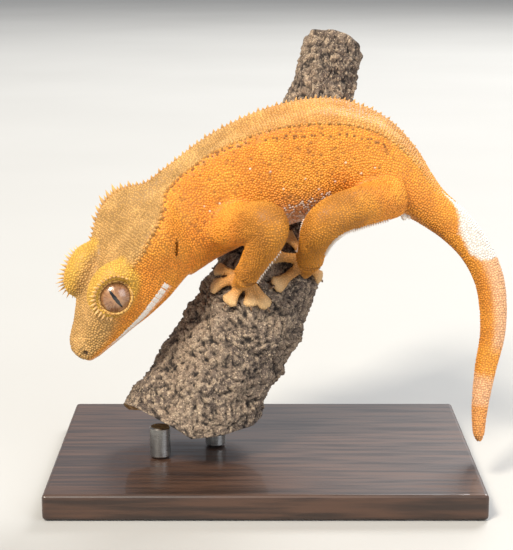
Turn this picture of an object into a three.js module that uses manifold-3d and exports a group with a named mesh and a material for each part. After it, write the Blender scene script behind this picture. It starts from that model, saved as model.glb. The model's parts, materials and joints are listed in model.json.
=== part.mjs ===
// A life-size still model of a crested gecko climbing head first down a cut length of
// bark-covered branch, held over a flat display base by two short rods.
// Millimetres, +Z up. The origin is the middle of the base's underside, the head points
// to -X and the animal's left side to -Y.

import * as THREE from 'three';
import { LoftGeometry } from 'three/addons/geometries/LoftGeometry.js';
import { mergeVertices } from 'three/addons/utils/BufferGeometryUtils.js';
import Module from 'manifold-3d';

const wasm = await Module();
wasm.setup();

const V = ( x, y, z ) => new THREE.Vector3( x, y, z );
const rad = THREE.MathUtils.degToRad;

// Driving dimensions.
const gap = 0.3; // between any two neighbouring solids
const headLength = 33; // snout tip to the rear corners of the crest
const eyeRadius = 4.5;
const lashLength = 2.3;
const lashCount = 13;
const rowSpikeLength = 1.5;
const rowSpikeSpacing = 2.3;
const mouthHeight = - 1.2;
const toeWidth = 2.2;
const padWidth = 4.4;
const barkRelief = 0.9;
const rodRadius = 2.5;
const baseSize = V( 100, 72, 6 );
const perchCutHeight = 14;

// The skull's own directions and its origin, on the jaw line between the crest corners.
const headOrigin = V( - 25.3, - 5.3, 58.1 );
const headForward = V( - 0.539, - 0.192, - 0.82 ).normalize();
const headLeft = V( 0.561, - 0.808, - 0.179 ).normalize();
const headUp = new THREE.Vector3().crossVectors( headForward, headLeft ).normalize();
const headRoll = 34.6;

function headPoint( forward, left, up ) {

	return headOrigin.clone()
		.addScaledVector( headForward, forward )
		.addScaledVector( headLeft, left )
		.addScaledVector( headUp, up );

}

function headDirection( forward, left, up ) {

	return headPoint( forward, left, up ).sub( headOrigin ).normalize();

}

// Stations along the body, snout to tail tip. Each has the place of its middle, then half the
// width, the rise to the mid back, the drop to the belly, the crest row's half gap and rise, the
// height of the widest place, and the roll that tips the back towards the animal's left.
function headStation( forward, middle, wide, back, belly, rowOut, rowUp, widest ) {

	return { at: headPoint( forward, 0, middle ), wide, back: back - middle, belly: belly + middle,
		rowOut, rowUp: rowUp - middle, widest: widest - middle, roll: headRoll };

}

function station( x, y, z, wide, back, belly, rowOut, rowUp, widest, roll ) {

	return { at: V( x, y, z ), wide, back, belly, rowOut, rowUp, widest, roll };

}

const stations = {
	snoutTip: headStation( headLength - 0.1, 0.3, 1.5, 1.4, 0.9, 0.8, 1.3, 0.2 ),
	snout: headStation( 32.2, 0.4, 3.1, 2.9, 1.7, 1.9, 2.6, 0.4 ),
	nostrils: headStation( 30.2, 0.6, 4.4, 4.4, 2.8, 3.0, 3.9, 0.6 ),
	muzzle: headStation( 26, 1.0, 5.9, 5.8, 4.0, 3.8, 5.3, 0.4 ),
	eyeFront: headStation( 21, 1.2, 7.7, 7.5, 5.2, 4.8, 7.4, 0.2 ),
	eyes: headStation( 16, 1.3, 9.4, 8.8, 6.8, 5.4, 8.8, - 0.2 ),
	cheeks: headStation( 9, 1.3, 10.9, 9.6, 8.8, 8.6, 9.6, - 0.2 ),
	crestCorners: headStation( 0.5, 1.4, 11.6, 10.2, 10.8, 10.9, 10.8, 0.0 ),
	nape: station( - 22.3, - 4.0, 61.5, 10.6, 10.2, 13.8, 4.8, 10.9, - 2.0, 33 ),
	neck: station( - 18.0, - 1.2, 64.4, 10.8, 11.4, 14.2, 3.6, 11.8, - 2.6, 31 ),
	shoulders: station( - 10.8, 1.6, 68.2, 11.8, 12.7, 14.2, 3.9, 12.9, - 3, 28 ),
	chest: station( - 3.5, 2.8, 71.8, 12.2, 13.0, 14.2, 4.8, 12.9, - 3, 25 ),
	trunk: station( 6, 3.6, 75.4, 12.6, 13.3, 14.8, 5.0, 13.1, - 3, 25 ),
	loin: station( 15.5, 4, 77.2, 12.0, 12.6, 14.0, 5.0, 12.4, - 2.6, 22 ),
	hipsFront: station( 23.1, 3.8, 76.2, 10.6, 10.8, 11.2, 4.8, 10.5, - 2, 17 ),
	hips: station( 29.8, 3.1, 72.8, 8.8, 8.4, 8.6, 4.2, 8.1, - 1, 13 ),
	vent: station( 35.3, 2.3, 68.6, 6.4, 6.0, 6.8, 3.2, 5.7, 0, 12 ),
	tailRoot: station( 39.5, 1.6, 65.2, 4.8, 4.6, 5.4, 2.6, 4.2, 0, 14 ),
	tailUpper: station( 44.9, 0.7, 60.8, 4.2, 4.2, 4.6, 2.3, 3.8, 0, 15 ),
	tailBend: station( 49.9, - 0.7, 55, 3.8, 3.9, 3.9, 2.1, 3.5, 0, 15 ),
	tailMiddle: station( 53.4, - 2.4, 47.4, 3.5, 3.6, 3.5, 1.9, 3.2, 0, 15 ),
	tailLower: station( 54.2, - 4.9, 36.5, 3.1, 3.1, 3.1, 1.7, 2.8, 0, 15 ),
	tailThin: station( 52.4, - 6.7, 26.9, 2.6, 2.6, 2.6, 1.5, 2.3, 0, 15 ),
	tailPad: station( 51.1, - 8.5, 18.0, 2.3, 2.0, 2.0, 1.3, 1.8, 0, 15 ),
	tailEnd: station( 50.9, - 9.8, 12.0, 1.9, 1.4, 1.4, 1.0, 1.2, 0, 15 ),
	tailTip: station( 51.1, - 10.2, 10.2, 0.8, 0.7, 0.7, 0.4, 0.6, 0, 15 )
};
const stationNames = Object.keys( stations );
const stationList = Object.values( stations );
const axis = new THREE.CatmullRomCurve3( stationList.map( ( s ) => s.at ), false, 'centripetal' );

// A Catmull-Rom value between the stations' own values, as the axis curve has its places.
function between( list, place ) {

	const last = list.length - 1;
	const start = Math.min( Math.floor( place ), last - 1 );
	const w = place - start;
	const p = [ - 1, 0, 1, 2 ].map( ( k ) => list[ Math.min( last, Math.max( 0, start + k ) ) ] );
	const v0 = ( p[ 2 ] - p[ 0 ] ) / 2;
	const v1 = ( p[ 3 ] - p[ 1 ] ) / 2;
	return ( 2 * p[ 1 ] - 2 * p[ 2 ] + v0 + v1 ) * w ** 3 + ( - 3 * p[ 1 ] + 3 * p[ 2 ] - 2 * v0 - v1 ) * w ** 2
		+ v0 * w + p[ 1 ];

}

const sizeAt = ( key, place ) => between( stationList.map( ( s ) => s[ key ] ), place );

// The three directions at a place on the body: forward to the snout, left, and up to the back.
function bodyFrame( place ) {

	const t = THREE.MathUtils.clamp( place / ( stationList.length - 1 ), 0, 1 );
	const at = axis.getPoint( t );
	const forward = axis.getTangent( t ).negate();
	const level = V( 0, - 1, 0 );
	level.addScaledVector( forward, - level.dot( forward ) ).normalize();
	const upright = new THREE.Vector3().crossVectors( forward, level );
	const roll = rad( sizeAt( 'roll', place ) );
	const up = upright.clone().multiplyScalar( Math.cos( roll ) ).addScaledVector( level, Math.sin( roll ) );
	const left = level.clone().multiplyScalar( Math.cos( roll ) ).addScaledVector( upright, - Math.sin( roll ) );
	return { at, forward, left, up };

}

function bodyPoint( place, outward, upward ) {

	const frame = bodyFrame( place );
	return frame.at.addScaledVector( frame.left, outward ).addScaledVector( frame.up, upward );

}

// A cross-section is one closed curve: mid back, crest row, widest place, flank, belly and back
// round the other side. grow makes it larger all round.
function bodySection( place, pointsPerSpan, grow = 0 ) {

	const [ wide, back, belly, rowOut, rowUp, widest ] = [ 'wide', 'back', 'belly', 'rowOut', 'rowUp', 'widest' ]
		.map( ( key ) => sizeAt( key, place ) );
	const side = [
		[ rowOut + grow * 0.6, rowUp + grow * 0.8 ],
		[ wide + grow, widest ],
		[ wide * 0.8 + grow * 0.7, widest - ( belly + widest ) * 0.62 - grow * 0.7 ]
	];
	const outline = [ [ 0, back + grow ], ...side, [ 0, - belly - grow ],
		...side.map( ( [ l, u ] ) => [ - l, u ] ).reverse() ];
	const curve = new THREE.CatmullRomCurve3( outline.map( ( [ l, u ] ) => V( l, u, 0 ) ), true, 'centripetal' );
	return curve.getPoints( outline.length * pointsPerSpan ).slice( 0, - 1 )
		.map( ( p ) => bodyPoint( place, p.x, p.y ) );

}

const placeOf = ( name ) => stationNames.indexOf( name );

// A closed mesh as a solid for joining and cutting.
function solid( geometry ) {

	const plain = new THREE.BufferGeometry();
	plain.setAttribute( 'position', geometry.attributes.position );
	plain.setIndex( geometry.index );
	const merged = mergeVertices( plain, 1e-4 );
	const vertProperties = new Float32Array( merged.attributes.position.array );
	const triVerts = new Uint32Array( merged.index.array );
	return new wasm.Manifold( new wasm.Mesh( { numProp: 3, vertProperties, triVerts } ) );

}

function largest( body ) {

	return body.decompose().sort( ( a, b ) => b.volume() - a.volume() )[ 0 ];

}

// A closed skin through rings of points, wound so that its faces point out.
function loft( sections ) {

	const middle = ( ring ) => ring.reduce( ( sum, p ) => sum.add( p ), V( 0, 0, 0 ) ).divideScalar( ring.length );
	const [ first, second ] = sections;
	const turn = V( 0, 0, 0 );
	first.forEach( ( p, i ) => turn.add( p.clone().cross( first[ ( i + 1 ) % first.length ] ) ) );
	if ( turn.dot( middle( second ).sub( middle( first ) ) ) < 0 ) sections.forEach( ( ring ) => ring.reverse() );
	return solid( new LoftGeometry( sections, { closed: true, capStart: true, capEnd: true } ) );

}

// The outer skin alone of the largest closed surface.
function meshOf( name, body, color, roughness ) {

	const mesh = largest( body ).getMesh();
	const geometry = new THREE.BufferGeometry();
	geometry.setAttribute( 'position', new THREE.BufferAttribute( new Float32Array( mesh.vertProperties ), 3 ) );
	geometry.setIndex( new THREE.BufferAttribute( new Uint32Array( mesh.triVerts ), 1 ) );
	geometry.computeVertexNormals();
	const result = new THREE.Mesh( geometry, new THREE.MeshStandardMaterial( { color, roughness, metalness: 0 } ) );
	result.name = name;
	return result;

}

// A length of the body between two places, in rings that follow the bends.
function bodyLength( from, to, rings, pointsPerSpan, grow = 0 ) {

	const sections = [];
	for ( let i = 0; i <= rings; i ++ ) {

		sections.push( bodySection( from + ( to - from ) * i / rings, pointsPerSpan, grow ) );

	}

	return loft( sections );

}

// The place on the body that lies a distance further on, for the gap between two lengths.
function furtherOn( place, distance ) {

	const step = 1e-3;
	const speed = bodyFrame( place + step ).at.distanceTo( bodyFrame( place ).at ) / step;
	return place + distance / speed;

}

function ellipsoid( center, directions, radii, across = 16, rows = 10 ) {

	const geometry = new THREE.SphereGeometry( 1, across, rows );
	const [ first, second, third ] = directions;
	const handed = Math.sign( first.clone().cross( second ).dot( third ) );
	geometry.scale( 1, 1, handed ); // two mirrorings leave the faces turned out
	const matrix = new THREE.Matrix4().makeBasis( ...directions.map( ( d, i ) => d.clone().multiplyScalar( radii[ i ] ) ) );
	matrix.setPosition( center );
	return solid( geometry.applyMatrix4( matrix ) );

}

// A tapered spike with its root sunk below the surface point that it grows from.
function spike( root, direction, length, radius, sunk = 0.6 ) {

	const geometry = new THREE.ConeGeometry( radius, length + sunk, 5 );
	geometry.translate( 0, ( length - sunk ) / 2, 0 );
	geometry.applyQuaternion( new THREE.Quaternion().setFromUnitVectors( V( 0, 1, 0 ), direction.clone().normalize() ) );
	geometry.translate( root.x, root.y, root.z );
	return solid( geometry );

}

const join = ( first, ...others ) => others.reduce( ( sum, piece ) => sum.add( piece ), first );

// The perch: a bark-covered branch that leans away behind the animal's trunk.
const branchAxis = new THREE.CatmullRomCurve3( [ V( - 20.9, - 6.1, 10.3 ), V( - 9.5, 1.8, 28.3 ),
	V( - 1.0, 9, 42.9 ), V( 8.6, 26, 70.1 ), V( 18.1, 44.7, 100.2 ) ], false, 'centripetal' );
const branchRadii = [ 15.5, 14.2, 13.3, 10.2, 7.8 ];

// Bark plates and furrows, as a few waves that run along and around the branch.
function barkHeight( along, around ) {

	const a = rad( around );
	const plates = Math.sin( 5 * a + 3 * Math.sin( along * 9 ) ) * Math.sin( along * 31 + 2 * Math.cos( 2 * a ) );
	const furrows = Math.sin( 9 * a - along * 14 ) * 0.6 + Math.sin( 4 * a + along * 47 ) * 0.5;
	return barkRelief * ( 0.6 * plates + 0.5 * furrows );

}

// A point over the bark: along runs 0 to 1 up the branch, around is 0 on the side that faces -Y
// and grows towards -X, in degrees.
function barkFrame( along, around, lift ) {

	const at = branchAxis.getPoint( along );
	const direction = branchAxis.getTangent( along );
	const front = V( 0, - 1, 0 );
	front.addScaledVector( direction, - front.dot( direction ) ).normalize();
	const side = new THREE.Vector3().crossVectors( front, direction );
	const normal = front.multiplyScalar( Math.cos( rad( around ) ) ).addScaledVector( side, Math.sin( rad( around ) ) );
	const radius = between( branchRadii, along * ( branchRadii.length - 1 ) ) + barkHeight( along, around );
	return { point: at.addScaledVector( normal, radius + lift ), normal, direction };

}

const barkPoint = ( along, around, lift ) => barkFrame( along, around, lift ).point;

function branch( grow ) {

	const rings = 30;
	const sides = 24;
	const sections = [];
	for ( let i = 0; i <= rings; i ++ ) {

		const section = [];
		for ( let j = 0; j < sides; j ++ ) section.push( barkPoint( i / rings, j / sides * 360, grow ) );
		sections.push( section );

	}

	return loft( sections );

}

const branchWithGap = branch( gap );

// A limb length: rings with their own half widths across and through, along a smooth path.
function limbLength( points, across, through, sideways, from, to, rings = 7, sides = 10 ) {

	const path = new THREE.CatmullRomCurve3( points, false, 'centripetal' );
	const sections = [];
	for ( let i = 0; i <= rings; i ++ ) {

		const t = from + ( to - from ) * i / rings;
		const at = path.getPoint( t );
		const tangent = path.getTangent( t );
		const side = sideways.clone().addScaledVector( tangent, - sideways.dot( tangent ) ).normalize();
		const up = new THREE.Vector3().crossVectors( tangent, side );
		const place = t * ( points.length - 1 );
		const section = [];
		for ( let j = 0; j < sides; j ++ ) {

			const angle = j / sides * Math.PI * 2;
			section.push( at.clone()
				.addScaledVector( side, Math.cos( angle ) * between( across, place ) )
				.addScaledVector( up, Math.sin( angle ) * between( through, place ) ) );

		}

		sections.push( section );

	}

	return loft( sections );

}

// A toe lies over the bark from the palm to its pad: a slim stalk, a broad pad, a small claw.
function toe( palm, pad, curl = 0 ) {

	const place = ( t, lift ) => barkPoint( THREE.MathUtils.lerp( palm.along, pad.along, t ),
		THREE.MathUtils.lerp( palm.around, pad.around, t ), lift );
	const points = [ place( 0, 1.7 ), place( 0.3, 1.9 ), place( 0.62, 1.3 + curl ), place( 0.86, 0.9 + curl ),
		place( 1.02, 0.8 + curl ), place( 1.16, 0.6 + curl ) ];
	const size = pad.size ?? 1;
	const across = [ 0.6, 0.52, 0.48, 0.86, 1.0, 0.42 ].map( ( k, i ) => k * ( i < 3 ? toeWidth : padWidth / 2 ) * size );
	const through = [ 1.3, 1.1, 0.9, 0.8, 0.75, 0.45 ].map( ( k ) => k * size );
	const { normal } = barkFrame( pad.along, pad.around, 0 );
	const run = points[ 4 ].clone().sub( points[ 2 ] ).normalize();
	const sideways = new THREE.Vector3().crossVectors( run, normal ).normalize();
	const claw = spike( place( 1.12, 1.0 + curl ), run.clone().addScaledVector( normal, 0.25 ), 0.9, 0.35 );
	return limbLength( points, across, through, sideways, 0, 1, 8, 6 ).add( claw );

}

// Cuts away what lies beyond a plane, up to a reach all round, half a gap behind the plane.
function trimBeyond( body, point, normal, reach ) {

	const block = new THREE.BoxGeometry( 2 * reach, 2 * reach, 2 * reach ).translate( 0, 0, reach - gap / 2 );
	block.applyQuaternion( new THREE.Quaternion().setFromUnitVectors( V( 0, 0, 1 ), normal ) );
	block.translate( point.x, point.y, point.z );
	return body.subtract( solid( block ) );

}

// One leg. Its three lengths meet in planes across the middle joint and the wrist or ankle.
function leg( name, side, sizes ) {

	const { root, joint, wrist, palm, toes, thick } = sizes;
	const over = barkFrame( palm.along, palm.around, 0 );
	const palmMiddle = barkPoint( palm.along, palm.around, 2.0 );
	const heel = palmMiddle.clone().lerp( wrist, 0.45 ).addScaledVector( over.normal, 0.7 );
	const upperRun = joint.clone().sub( root ).normalize();
	const lowerRun = wrist.clone().sub( joint ).normalize();
	const footRun = heel.clone().sub( wrist ).normalize();
	const bend = new THREE.Vector3().crossVectors( upperRun, lowerRun ).normalize();
	const limb = ( from, to ) => limbLength( [ root, joint, wrist ], thick.map( ( k ) => k * 0.92 ), thick, bend, from, to );
	const palmAcross = new THREE.Vector3().crossVectors( palmMiddle.clone().sub( wrist ), over.normal ).normalize();
	const knuckles = palmMiddle.clone().multiplyScalar( 1.8 ).addScaledVector( heel, - 0.8 );
	let foot = limbLength( [ wrist, heel, palmMiddle, knuckles ], [ thick[ 2 ], thick[ 2 ] * 1.1, 4.0, 3.2 ],
		[ thick[ 2 ], 2.2, 1.8, 1.3 ], palmAcross, 0, 1, 6, 8 );
	for ( const pad of toes ) foot = foot.add( toe( palm, pad, pad.curl ) );
	const middleCut = upperRun.add( lowerRun ).normalize();
	const wristCut = lowerRun.clone().add( footRun ).normalize();
	const reach = thick[ 0 ] * 3;
	const upper = trimBeyond( limb( 0, 0.55 ), joint, middleCut, reach );
	const lower = trimBeyond( limb( 0.45, 1 ), joint, middleCut.clone().negate(), reach );
	return [
		[ name === 'front' ? `upper_arm_${side}` : `thigh_${side}`, upper ],
		[ name === 'front' ? `forearm_${side}` : `shank_${side}`, trimBeyond( lower, wrist, wristCut, thick[ 2 ] * 1.6 ) ],
		[ `${name}_foot_${side}`, trimBeyond( foot, wrist, wristCut.clone().negate(), thick[ 2 ] * 1.6 ) ]
	];

}

const legs = {
	front_left: {
		root: V( - 9.6, - 6.5, 61.5 ), joint: V( 0.7, - 17, 63.6 ), wrist: V( - 4.2, - 10.4, 50.6 ), thick: [ 4.8, 5.0, 3.0 ],
		palm: { along: 0.468, around: 22 },
		toes: [ { along: 0.468, around: 52, size: 0.8, curl: 0.6 }, { along: 0.412, around: 52 },
			{ along: 0.382, around: 29 }, { along: 0.405, around: 10, size: 0.85 }, { along: 0.425, around: - 3, size: 0.85 } ]
	},
	front_right: {
		root: V( - 11.8, 8.6, 65.5 ), joint: V( - 16.5, 21.5, 70.5 ), wrist: V( - 9.6, 22.5, 60.5 ), thick: [ 4.4, 4.4, 2.8 ],
		palm: { along: 0.62, around: 118 },
		toes: [ { along: 0.69, around: 110 }, { along: 0.7, around: 136 }, { along: 0.65, around: 158 },
			{ along: 0.59, around: 160 }, { along: 0.56, around: 135 } ]
	},
	hind_left: {
		root: V( 30.4, - 2, 67.8 ), joint: V( 14.1, - 15.6, 64.4 ), wrist: V( 10.4, - 5.6, 53.6 ), thick: [ 5.2, 5.0, 3.3 ],
		palm: { along: 0.553, around: - 27 },
		toes: [ { along: 0.588, around: - 2, size: 0.85 }, { along: 0.54, around: 7 }, { along: 0.49, around: - 7 },
			{ along: 0.548, around: - 56, size: 0.85 }, { along: 0.602, around: - 36, size: 0.85 } ]
	},
	hind_right: {
		root: V( 29.1, 8.5, 73 ), joint: V( 25.5, 29.5, 76 ), wrist: V( 17.2, 28.4, 62.5 ), thick: [ 5.0, 4.8, 3.2 ],
		palm: { along: 0.665, around: - 112 },
		toes: [ { along: 0.75, around: - 112 }, { along: 0.735, around: - 140 }, { along: 0.68, around: - 158 },
			{ along: 0.61, around: - 152 }, { along: 0.58, around: - 125 } ]
	}
};

// The head: brows over the eyes with their lashes, sockets, mouth line, nostrils and ear cups.
const eyeSpot = V( 15.9, 6.2, 6.4 );
const eyeLook = { forward: 0.1, left: 0.85, up: 0.5 };

function eyeFrame( side ) {

	const center = headPoint( eyeSpot.x, eyeSpot.y * side, eyeSpot.z );
	const out = headDirection( eyeLook.forward, eyeLook.left * side, eyeLook.up );
	const ahead = headForward.clone().addScaledVector( out, - headForward.dot( out ) ).normalize();
	const above = new THREE.Vector3().crossVectors( ahead, out ).normalize().multiplyScalar( side );
	return { center, out, ahead, above };

}

// The brow is a dome over each eye. browShift is its middle from the eye's, ahead, above and out.
const browShift = V( - 1.2, 1.6, 1.2 );
const browRadii = [ 7.0, 5.2, 4.2 ];

function brow( side ) {

	const { center, out, ahead, above } = eyeFrame( side );
	const middle = center.clone().addScaledVector( ahead, browShift.x )
		.addScaledVector( above, browShift.y ).addScaledVector( out, browShift.z );
	return ellipsoid( middle, [ ahead, above, out ], browRadii, 16, 10 );

}

// The lashes fan out from the brow's rim round the front and top of the eye.
function lashes( side ) {

	const { center, out, ahead, above } = eyeFrame( side );
	const rim = eyeRadius + 0.5;
	const pieces = [];
	for ( let i = 0; i < lashCount; i ++ ) {

		const t = i / ( lashCount - 1 );
		const angle = rad( THREE.MathUtils.lerp( - 16, 172, t ) );
		const [ x, y ] = [ Math.cos( angle ) * rim, Math.sin( angle ) * rim ];
		const left = 1 - ( ( x - browShift.x ) / browRadii[ 0 ] ) ** 2 - ( ( y - browShift.y ) / browRadii[ 1 ] ) ** 2;
		const height = browShift.z + browRadii[ 2 ] * Math.sqrt( Math.max( 0.03, left ) );
		const root = center.clone().addScaledVector( ahead, x ).addScaledVector( above, y ).addScaledVector( out, height );
		const direction = ahead.clone().multiplyScalar( x / rim ).addScaledVector( above, y / rim ).addScaledVector( out, 0.5 );
		pieces.push( spike( root, direction, lashLength * ( 1 - 0.45 * t ) * ( i % 2 ? 0.85 : 1 ), 0.42, 1.0 ) );

	}

	return pieces;

}

// A row of spikes along the crest, longest at the corners behind the head.
function rowSpikes( from, to, side ) {

	const pieces = [];
	let place = from;
	let count = 0;
	while ( place < to ) {

		const frame = bodyFrame( place );
		const root = bodyPoint( place, side * sizeAt( 'rowOut', place ), sizeAt( 'rowUp', place ) );
		const corner = Math.exp( - ( ( place - placeOf( 'crestCorners' ) - 0.1 ) ** 2 ) * 6 );
		const fade = Math.min( 1, ( placeOf( 'tailRoot' ) - place ) / 3 );
		const length = rowSpikeLength * ( 0.75 + 0.6 * corner ) * fade * ( count % 2 ? 0.8 : 1 );
		const direction = frame.up.clone().addScaledVector( frame.left, side * ( 0.45 + 0.8 * corner ) )
			.addScaledVector( frame.forward, - 0.3 );
		if ( length > 0.35 ) pieces.push( spike( root, direction, length, 0.5 ) );
		place = furtherOn( place, rowSpikeSpacing * ( 1 - 0.4 * corner ) );
		count ++;

	}

	return pieces;

}

// The line of the mouth is a thin groove that follows the lips from one corner round the snout.
function mouthGroove() {

	const steps = 8;
	const rim = [];
	for ( let i = - steps; i <= steps; i ++ ) {

		if ( i === 0 ) continue;
		const place = ( placeOf( 'cheeks' ) - 0.1 ) * ( Math.abs( i ) - 1 ) / ( steps - 1 );
		const forward = bodyFrame( place ).at.sub( headOrigin ).dot( headForward );
		rim.push( new THREE.Vector2( forward, Math.sign( i ) * sizeAt( 'wide', place ) ) );

	}

	const sections = rim.map( ( p, i ) => {

		const run = rim[ Math.min( rim.length - 1, i + 1 ) ].clone().sub( rim[ Math.max( 0, i - 1 ) ] ).normalize();
		return [ [ 0.9, 0.24 ], [ 0.9, - 0.24 ], [ - 0.5, - 0.06 ], [ - 0.5, 0.06 ] ]
			.map( ( [ out, up ] ) => headPoint( p.x + run.y * out, p.y - run.x * out, up + mouthHeight ) );

	} );

	return loft( sections );

}

const skullDirections = [ headForward, headLeft, headUp ];
const neckCut = placeOf( 'crestCorners' ) + 0.62;
const torsoCut = placeOf( 'shoulders' ) - 0.35;
const tailCut = placeOf( 'vent' ) + 0.35;
const tailMiddleCut = placeOf( 'tailBend' ) + 0.4;
const tailTipCut = placeOf( 'tailThin' ) - 0.2;

function head() {

	let body = bodyLength( 0, neckCut, 24, 3 );
	for ( const side of [ 1, - 1 ] ) body = body.add( brow( side ) );
	for ( const side of [ 1, - 1 ] ) {

		const { center, out, ahead, above } = eyeFrame( side );
		const eyeAxes = [ ahead, above, out ];
		const window = center.clone().addScaledVector( out, 5.4 );
		const socket = eyeRadius + gap * 1.15;
		body = body.subtract( ellipsoid( window, eyeAxes, [ 4.9, 4.4, 4.2 ], 16, 8 ) );
		body = join( body, ...lashes( side ), ...rowSpikes( placeOf( 'cheeks' ) - 0.1, neckCut - 0.12, side ) );
		body = body.subtract( ellipsoid( center, eyeAxes, [ socket, socket, socket ], 16, 10 ) );
		body = body.subtract( ellipsoid( headPoint( 30.9, 3.9 * side, 2.6 ), skullDirections, [ 0.6, 0.7, 0.45 ], 8, 6 ) );
		const slit = [ headDirection( - 0.8, 0, 0.6 ), headLeft, headDirection( 0.6, 0, 0.8 ) ];
		body = body.subtract( ellipsoid( headPoint( - 0.7, 11.2 * side, 2.8 ), slit, [ 2.0, 1.6, 0.5 ], 10, 6 ) );

	}

	return body.subtract( mouthGroove() );

}

function eye( side ) {

	const { center, out, ahead, above } = eyeFrame( side );
	return ellipsoid( center, [ ahead, above, out ], [ eyeRadius, eyeRadius, eyeRadius ], 16, 10 );

}

// Body lengths behind the head, each with its part of the two crest rows.
function trunkPiece( from, to, rings, pointsPerSpan ) {

	const body = bodyLength( furtherOn( from, gap ), to, rings, pointsPerSpan );
	const start = furtherOn( from, 1.6 );
	const end = Math.min( furtherOn( to, - 1.2 ), placeOf( 'tailRoot' ) );
	return join( body, ...rowSpikes( start, end, 1 ), ...rowSpikes( start, end, - 1 ) );

}

// Colours from the animal, its perch and its stand.
const orange = 0xe0912f;
const ochre = 0xd0862e;
const tan = 0xc39a4c;
const bark = 0x6f6152;

const model = new THREE.Group();

const pieces = [
	[ 'head', head(), tan ],
	[ 'neck', trunkPiece( neckCut, torsoCut, 6, 3 ), orange ],
	[ 'torso', trunkPiece( torsoCut, tailCut, 30, 3 ), orange ],
	[ 'tail_root', trunkPiece( tailCut, tailMiddleCut, 12, 2 ), orange ],
	[ 'tail_middle', trunkPiece( tailMiddleCut, tailTipCut, 9, 2 ), orange ],
	[ 'tail_tip', trunkPiece( tailTipCut, stationList.length - 1, 9, 2 ), orange ]
];

for ( const [ name, body, color ] of pieces ) {

	model.add( meshOf( name, body.subtract( branchWithGap ), color, 0.6 ) );

}

const trunkWithGap = bodyLength( placeOf( 'nape' ), placeOf( 'tailUpper' ), 40, 3, gap );

for ( const [ key, sizes ] of Object.entries( legs ) ) {

	const [ name, side ] = key.split( '_' );
	for ( const [ node, body ] of leg( name, side, sizes ) ) {

		model.add( meshOf( node, body.subtract( branchWithGap ).subtract( trunkWithGap ), ochre, 0.6 ) );

	}

}

model.add( meshOf( 'eye_left', eye( 1 ), 0xb98a6c, 0.15 ) );
model.add( meshOf( 'eye_right', eye( - 1 ), 0xb98a6c, 0.15 ) );

// The perch is sawn level below, over the rods that carry it.
const sawing = solid( new THREE.BoxGeometry( 120, 120, 2 * perchCutHeight ) );
model.add( meshOf( 'perch', branch( 0 ).subtract( sawing ), bark, 0.95 ) );

const base = new THREE.BoxGeometry( ...baseSize ).translate( 0, 0, baseSize.z / 2 );
model.add( meshOf( 'stand_base', solid( base ), 0x2b2724, 0.45 ) );

const rodLength = perchCutHeight - baseSize.z - 2 * gap;
for ( const [ name, x, y ] of [ [ 'stand_rod_front', - 25, - 9 ], [ 'stand_rod_rear', - 12, 0 ] ] ) {

	const rod = new THREE.CylinderGeometry( rodRadius, rodRadius, rodLength, 24 ).rotateX( Math.PI / 2 );
	rod.translate( x, y, baseSize.z + gap + rodLength / 2 );
	model.add( meshOf( name, solid( rod ), 0x9a9a98, 0.35 ) );

}

export default model;
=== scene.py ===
# %% [markdown]
# # A crested gecko on its perch
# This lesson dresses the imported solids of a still, life-size museum model: a gecko that climbs head
# down on a bark-covered branch over a small stand. The animal gets one smooth skin, then a coat
# of granules, spikes and fringe scales on it, then eyes, claws, bark, wood and steel. Everything
# follows the same stations as the solids, in millimetres, and is turned to metres at the end.

# %% Load the frame
import json
import math

import bmesh
import bpy
import numpy as np
import openvdb as vdb
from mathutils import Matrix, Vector, kdtree, noise

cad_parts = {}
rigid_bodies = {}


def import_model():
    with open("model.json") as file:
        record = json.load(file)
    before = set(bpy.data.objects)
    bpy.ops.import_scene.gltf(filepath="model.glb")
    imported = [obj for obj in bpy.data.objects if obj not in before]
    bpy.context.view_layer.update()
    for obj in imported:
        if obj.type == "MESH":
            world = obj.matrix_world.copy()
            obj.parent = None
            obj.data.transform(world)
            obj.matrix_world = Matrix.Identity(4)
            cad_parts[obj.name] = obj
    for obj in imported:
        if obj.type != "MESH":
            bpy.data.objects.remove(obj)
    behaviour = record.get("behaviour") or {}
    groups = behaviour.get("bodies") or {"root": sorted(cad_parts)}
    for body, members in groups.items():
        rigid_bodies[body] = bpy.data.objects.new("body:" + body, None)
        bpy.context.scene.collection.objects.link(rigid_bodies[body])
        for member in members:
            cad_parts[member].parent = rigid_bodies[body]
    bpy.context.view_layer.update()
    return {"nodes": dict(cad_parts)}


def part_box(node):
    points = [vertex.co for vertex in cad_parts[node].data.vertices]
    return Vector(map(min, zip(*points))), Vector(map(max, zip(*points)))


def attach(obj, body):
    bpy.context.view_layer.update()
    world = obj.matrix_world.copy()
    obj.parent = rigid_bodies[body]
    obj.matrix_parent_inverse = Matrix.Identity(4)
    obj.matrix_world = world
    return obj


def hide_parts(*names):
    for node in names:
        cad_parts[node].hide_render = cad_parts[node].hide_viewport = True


for leftover in list(bpy.data.objects):
    bpy.data.objects.remove(leftover)
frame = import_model()
MM = 0.001
random = np.random.default_rng(7)
print("solids:", len(frame["nodes"]), "nodes")

# %% [markdown]
# ## Camera
# The photograph was taken from the animal's left, a little above it, with a long lens. A long
# lens keeps the tail and the near eye at the same scale, so the lens is chosen before any shape.

# %% Camera
scene = bpy.context.scene
camera = bpy.data.objects.new("camera", bpy.data.cameras.new("camera"))
camera.data.lens = 104.5
camera.data.clip_start = 0.01
camera.location = (-0.002, -0.37370, 0.12801)
camera.rotation_euler = (math.radians(78), 0, 0)
scene.collection.objects.link(camera)
scene.camera = camera
scene.view_settings.view_transform = "Standard"
print("camera:", camera.data.lens, "mm lens")

# %% [markdown]
# ## Curves through stations
# The body is described by a few cross-sections along a line, and smooth curves run through
# them. A centripetal Catmull-Rom curve passes through every station without loops, and the
# same formula here and in the solids keeps both models on each other.

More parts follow.
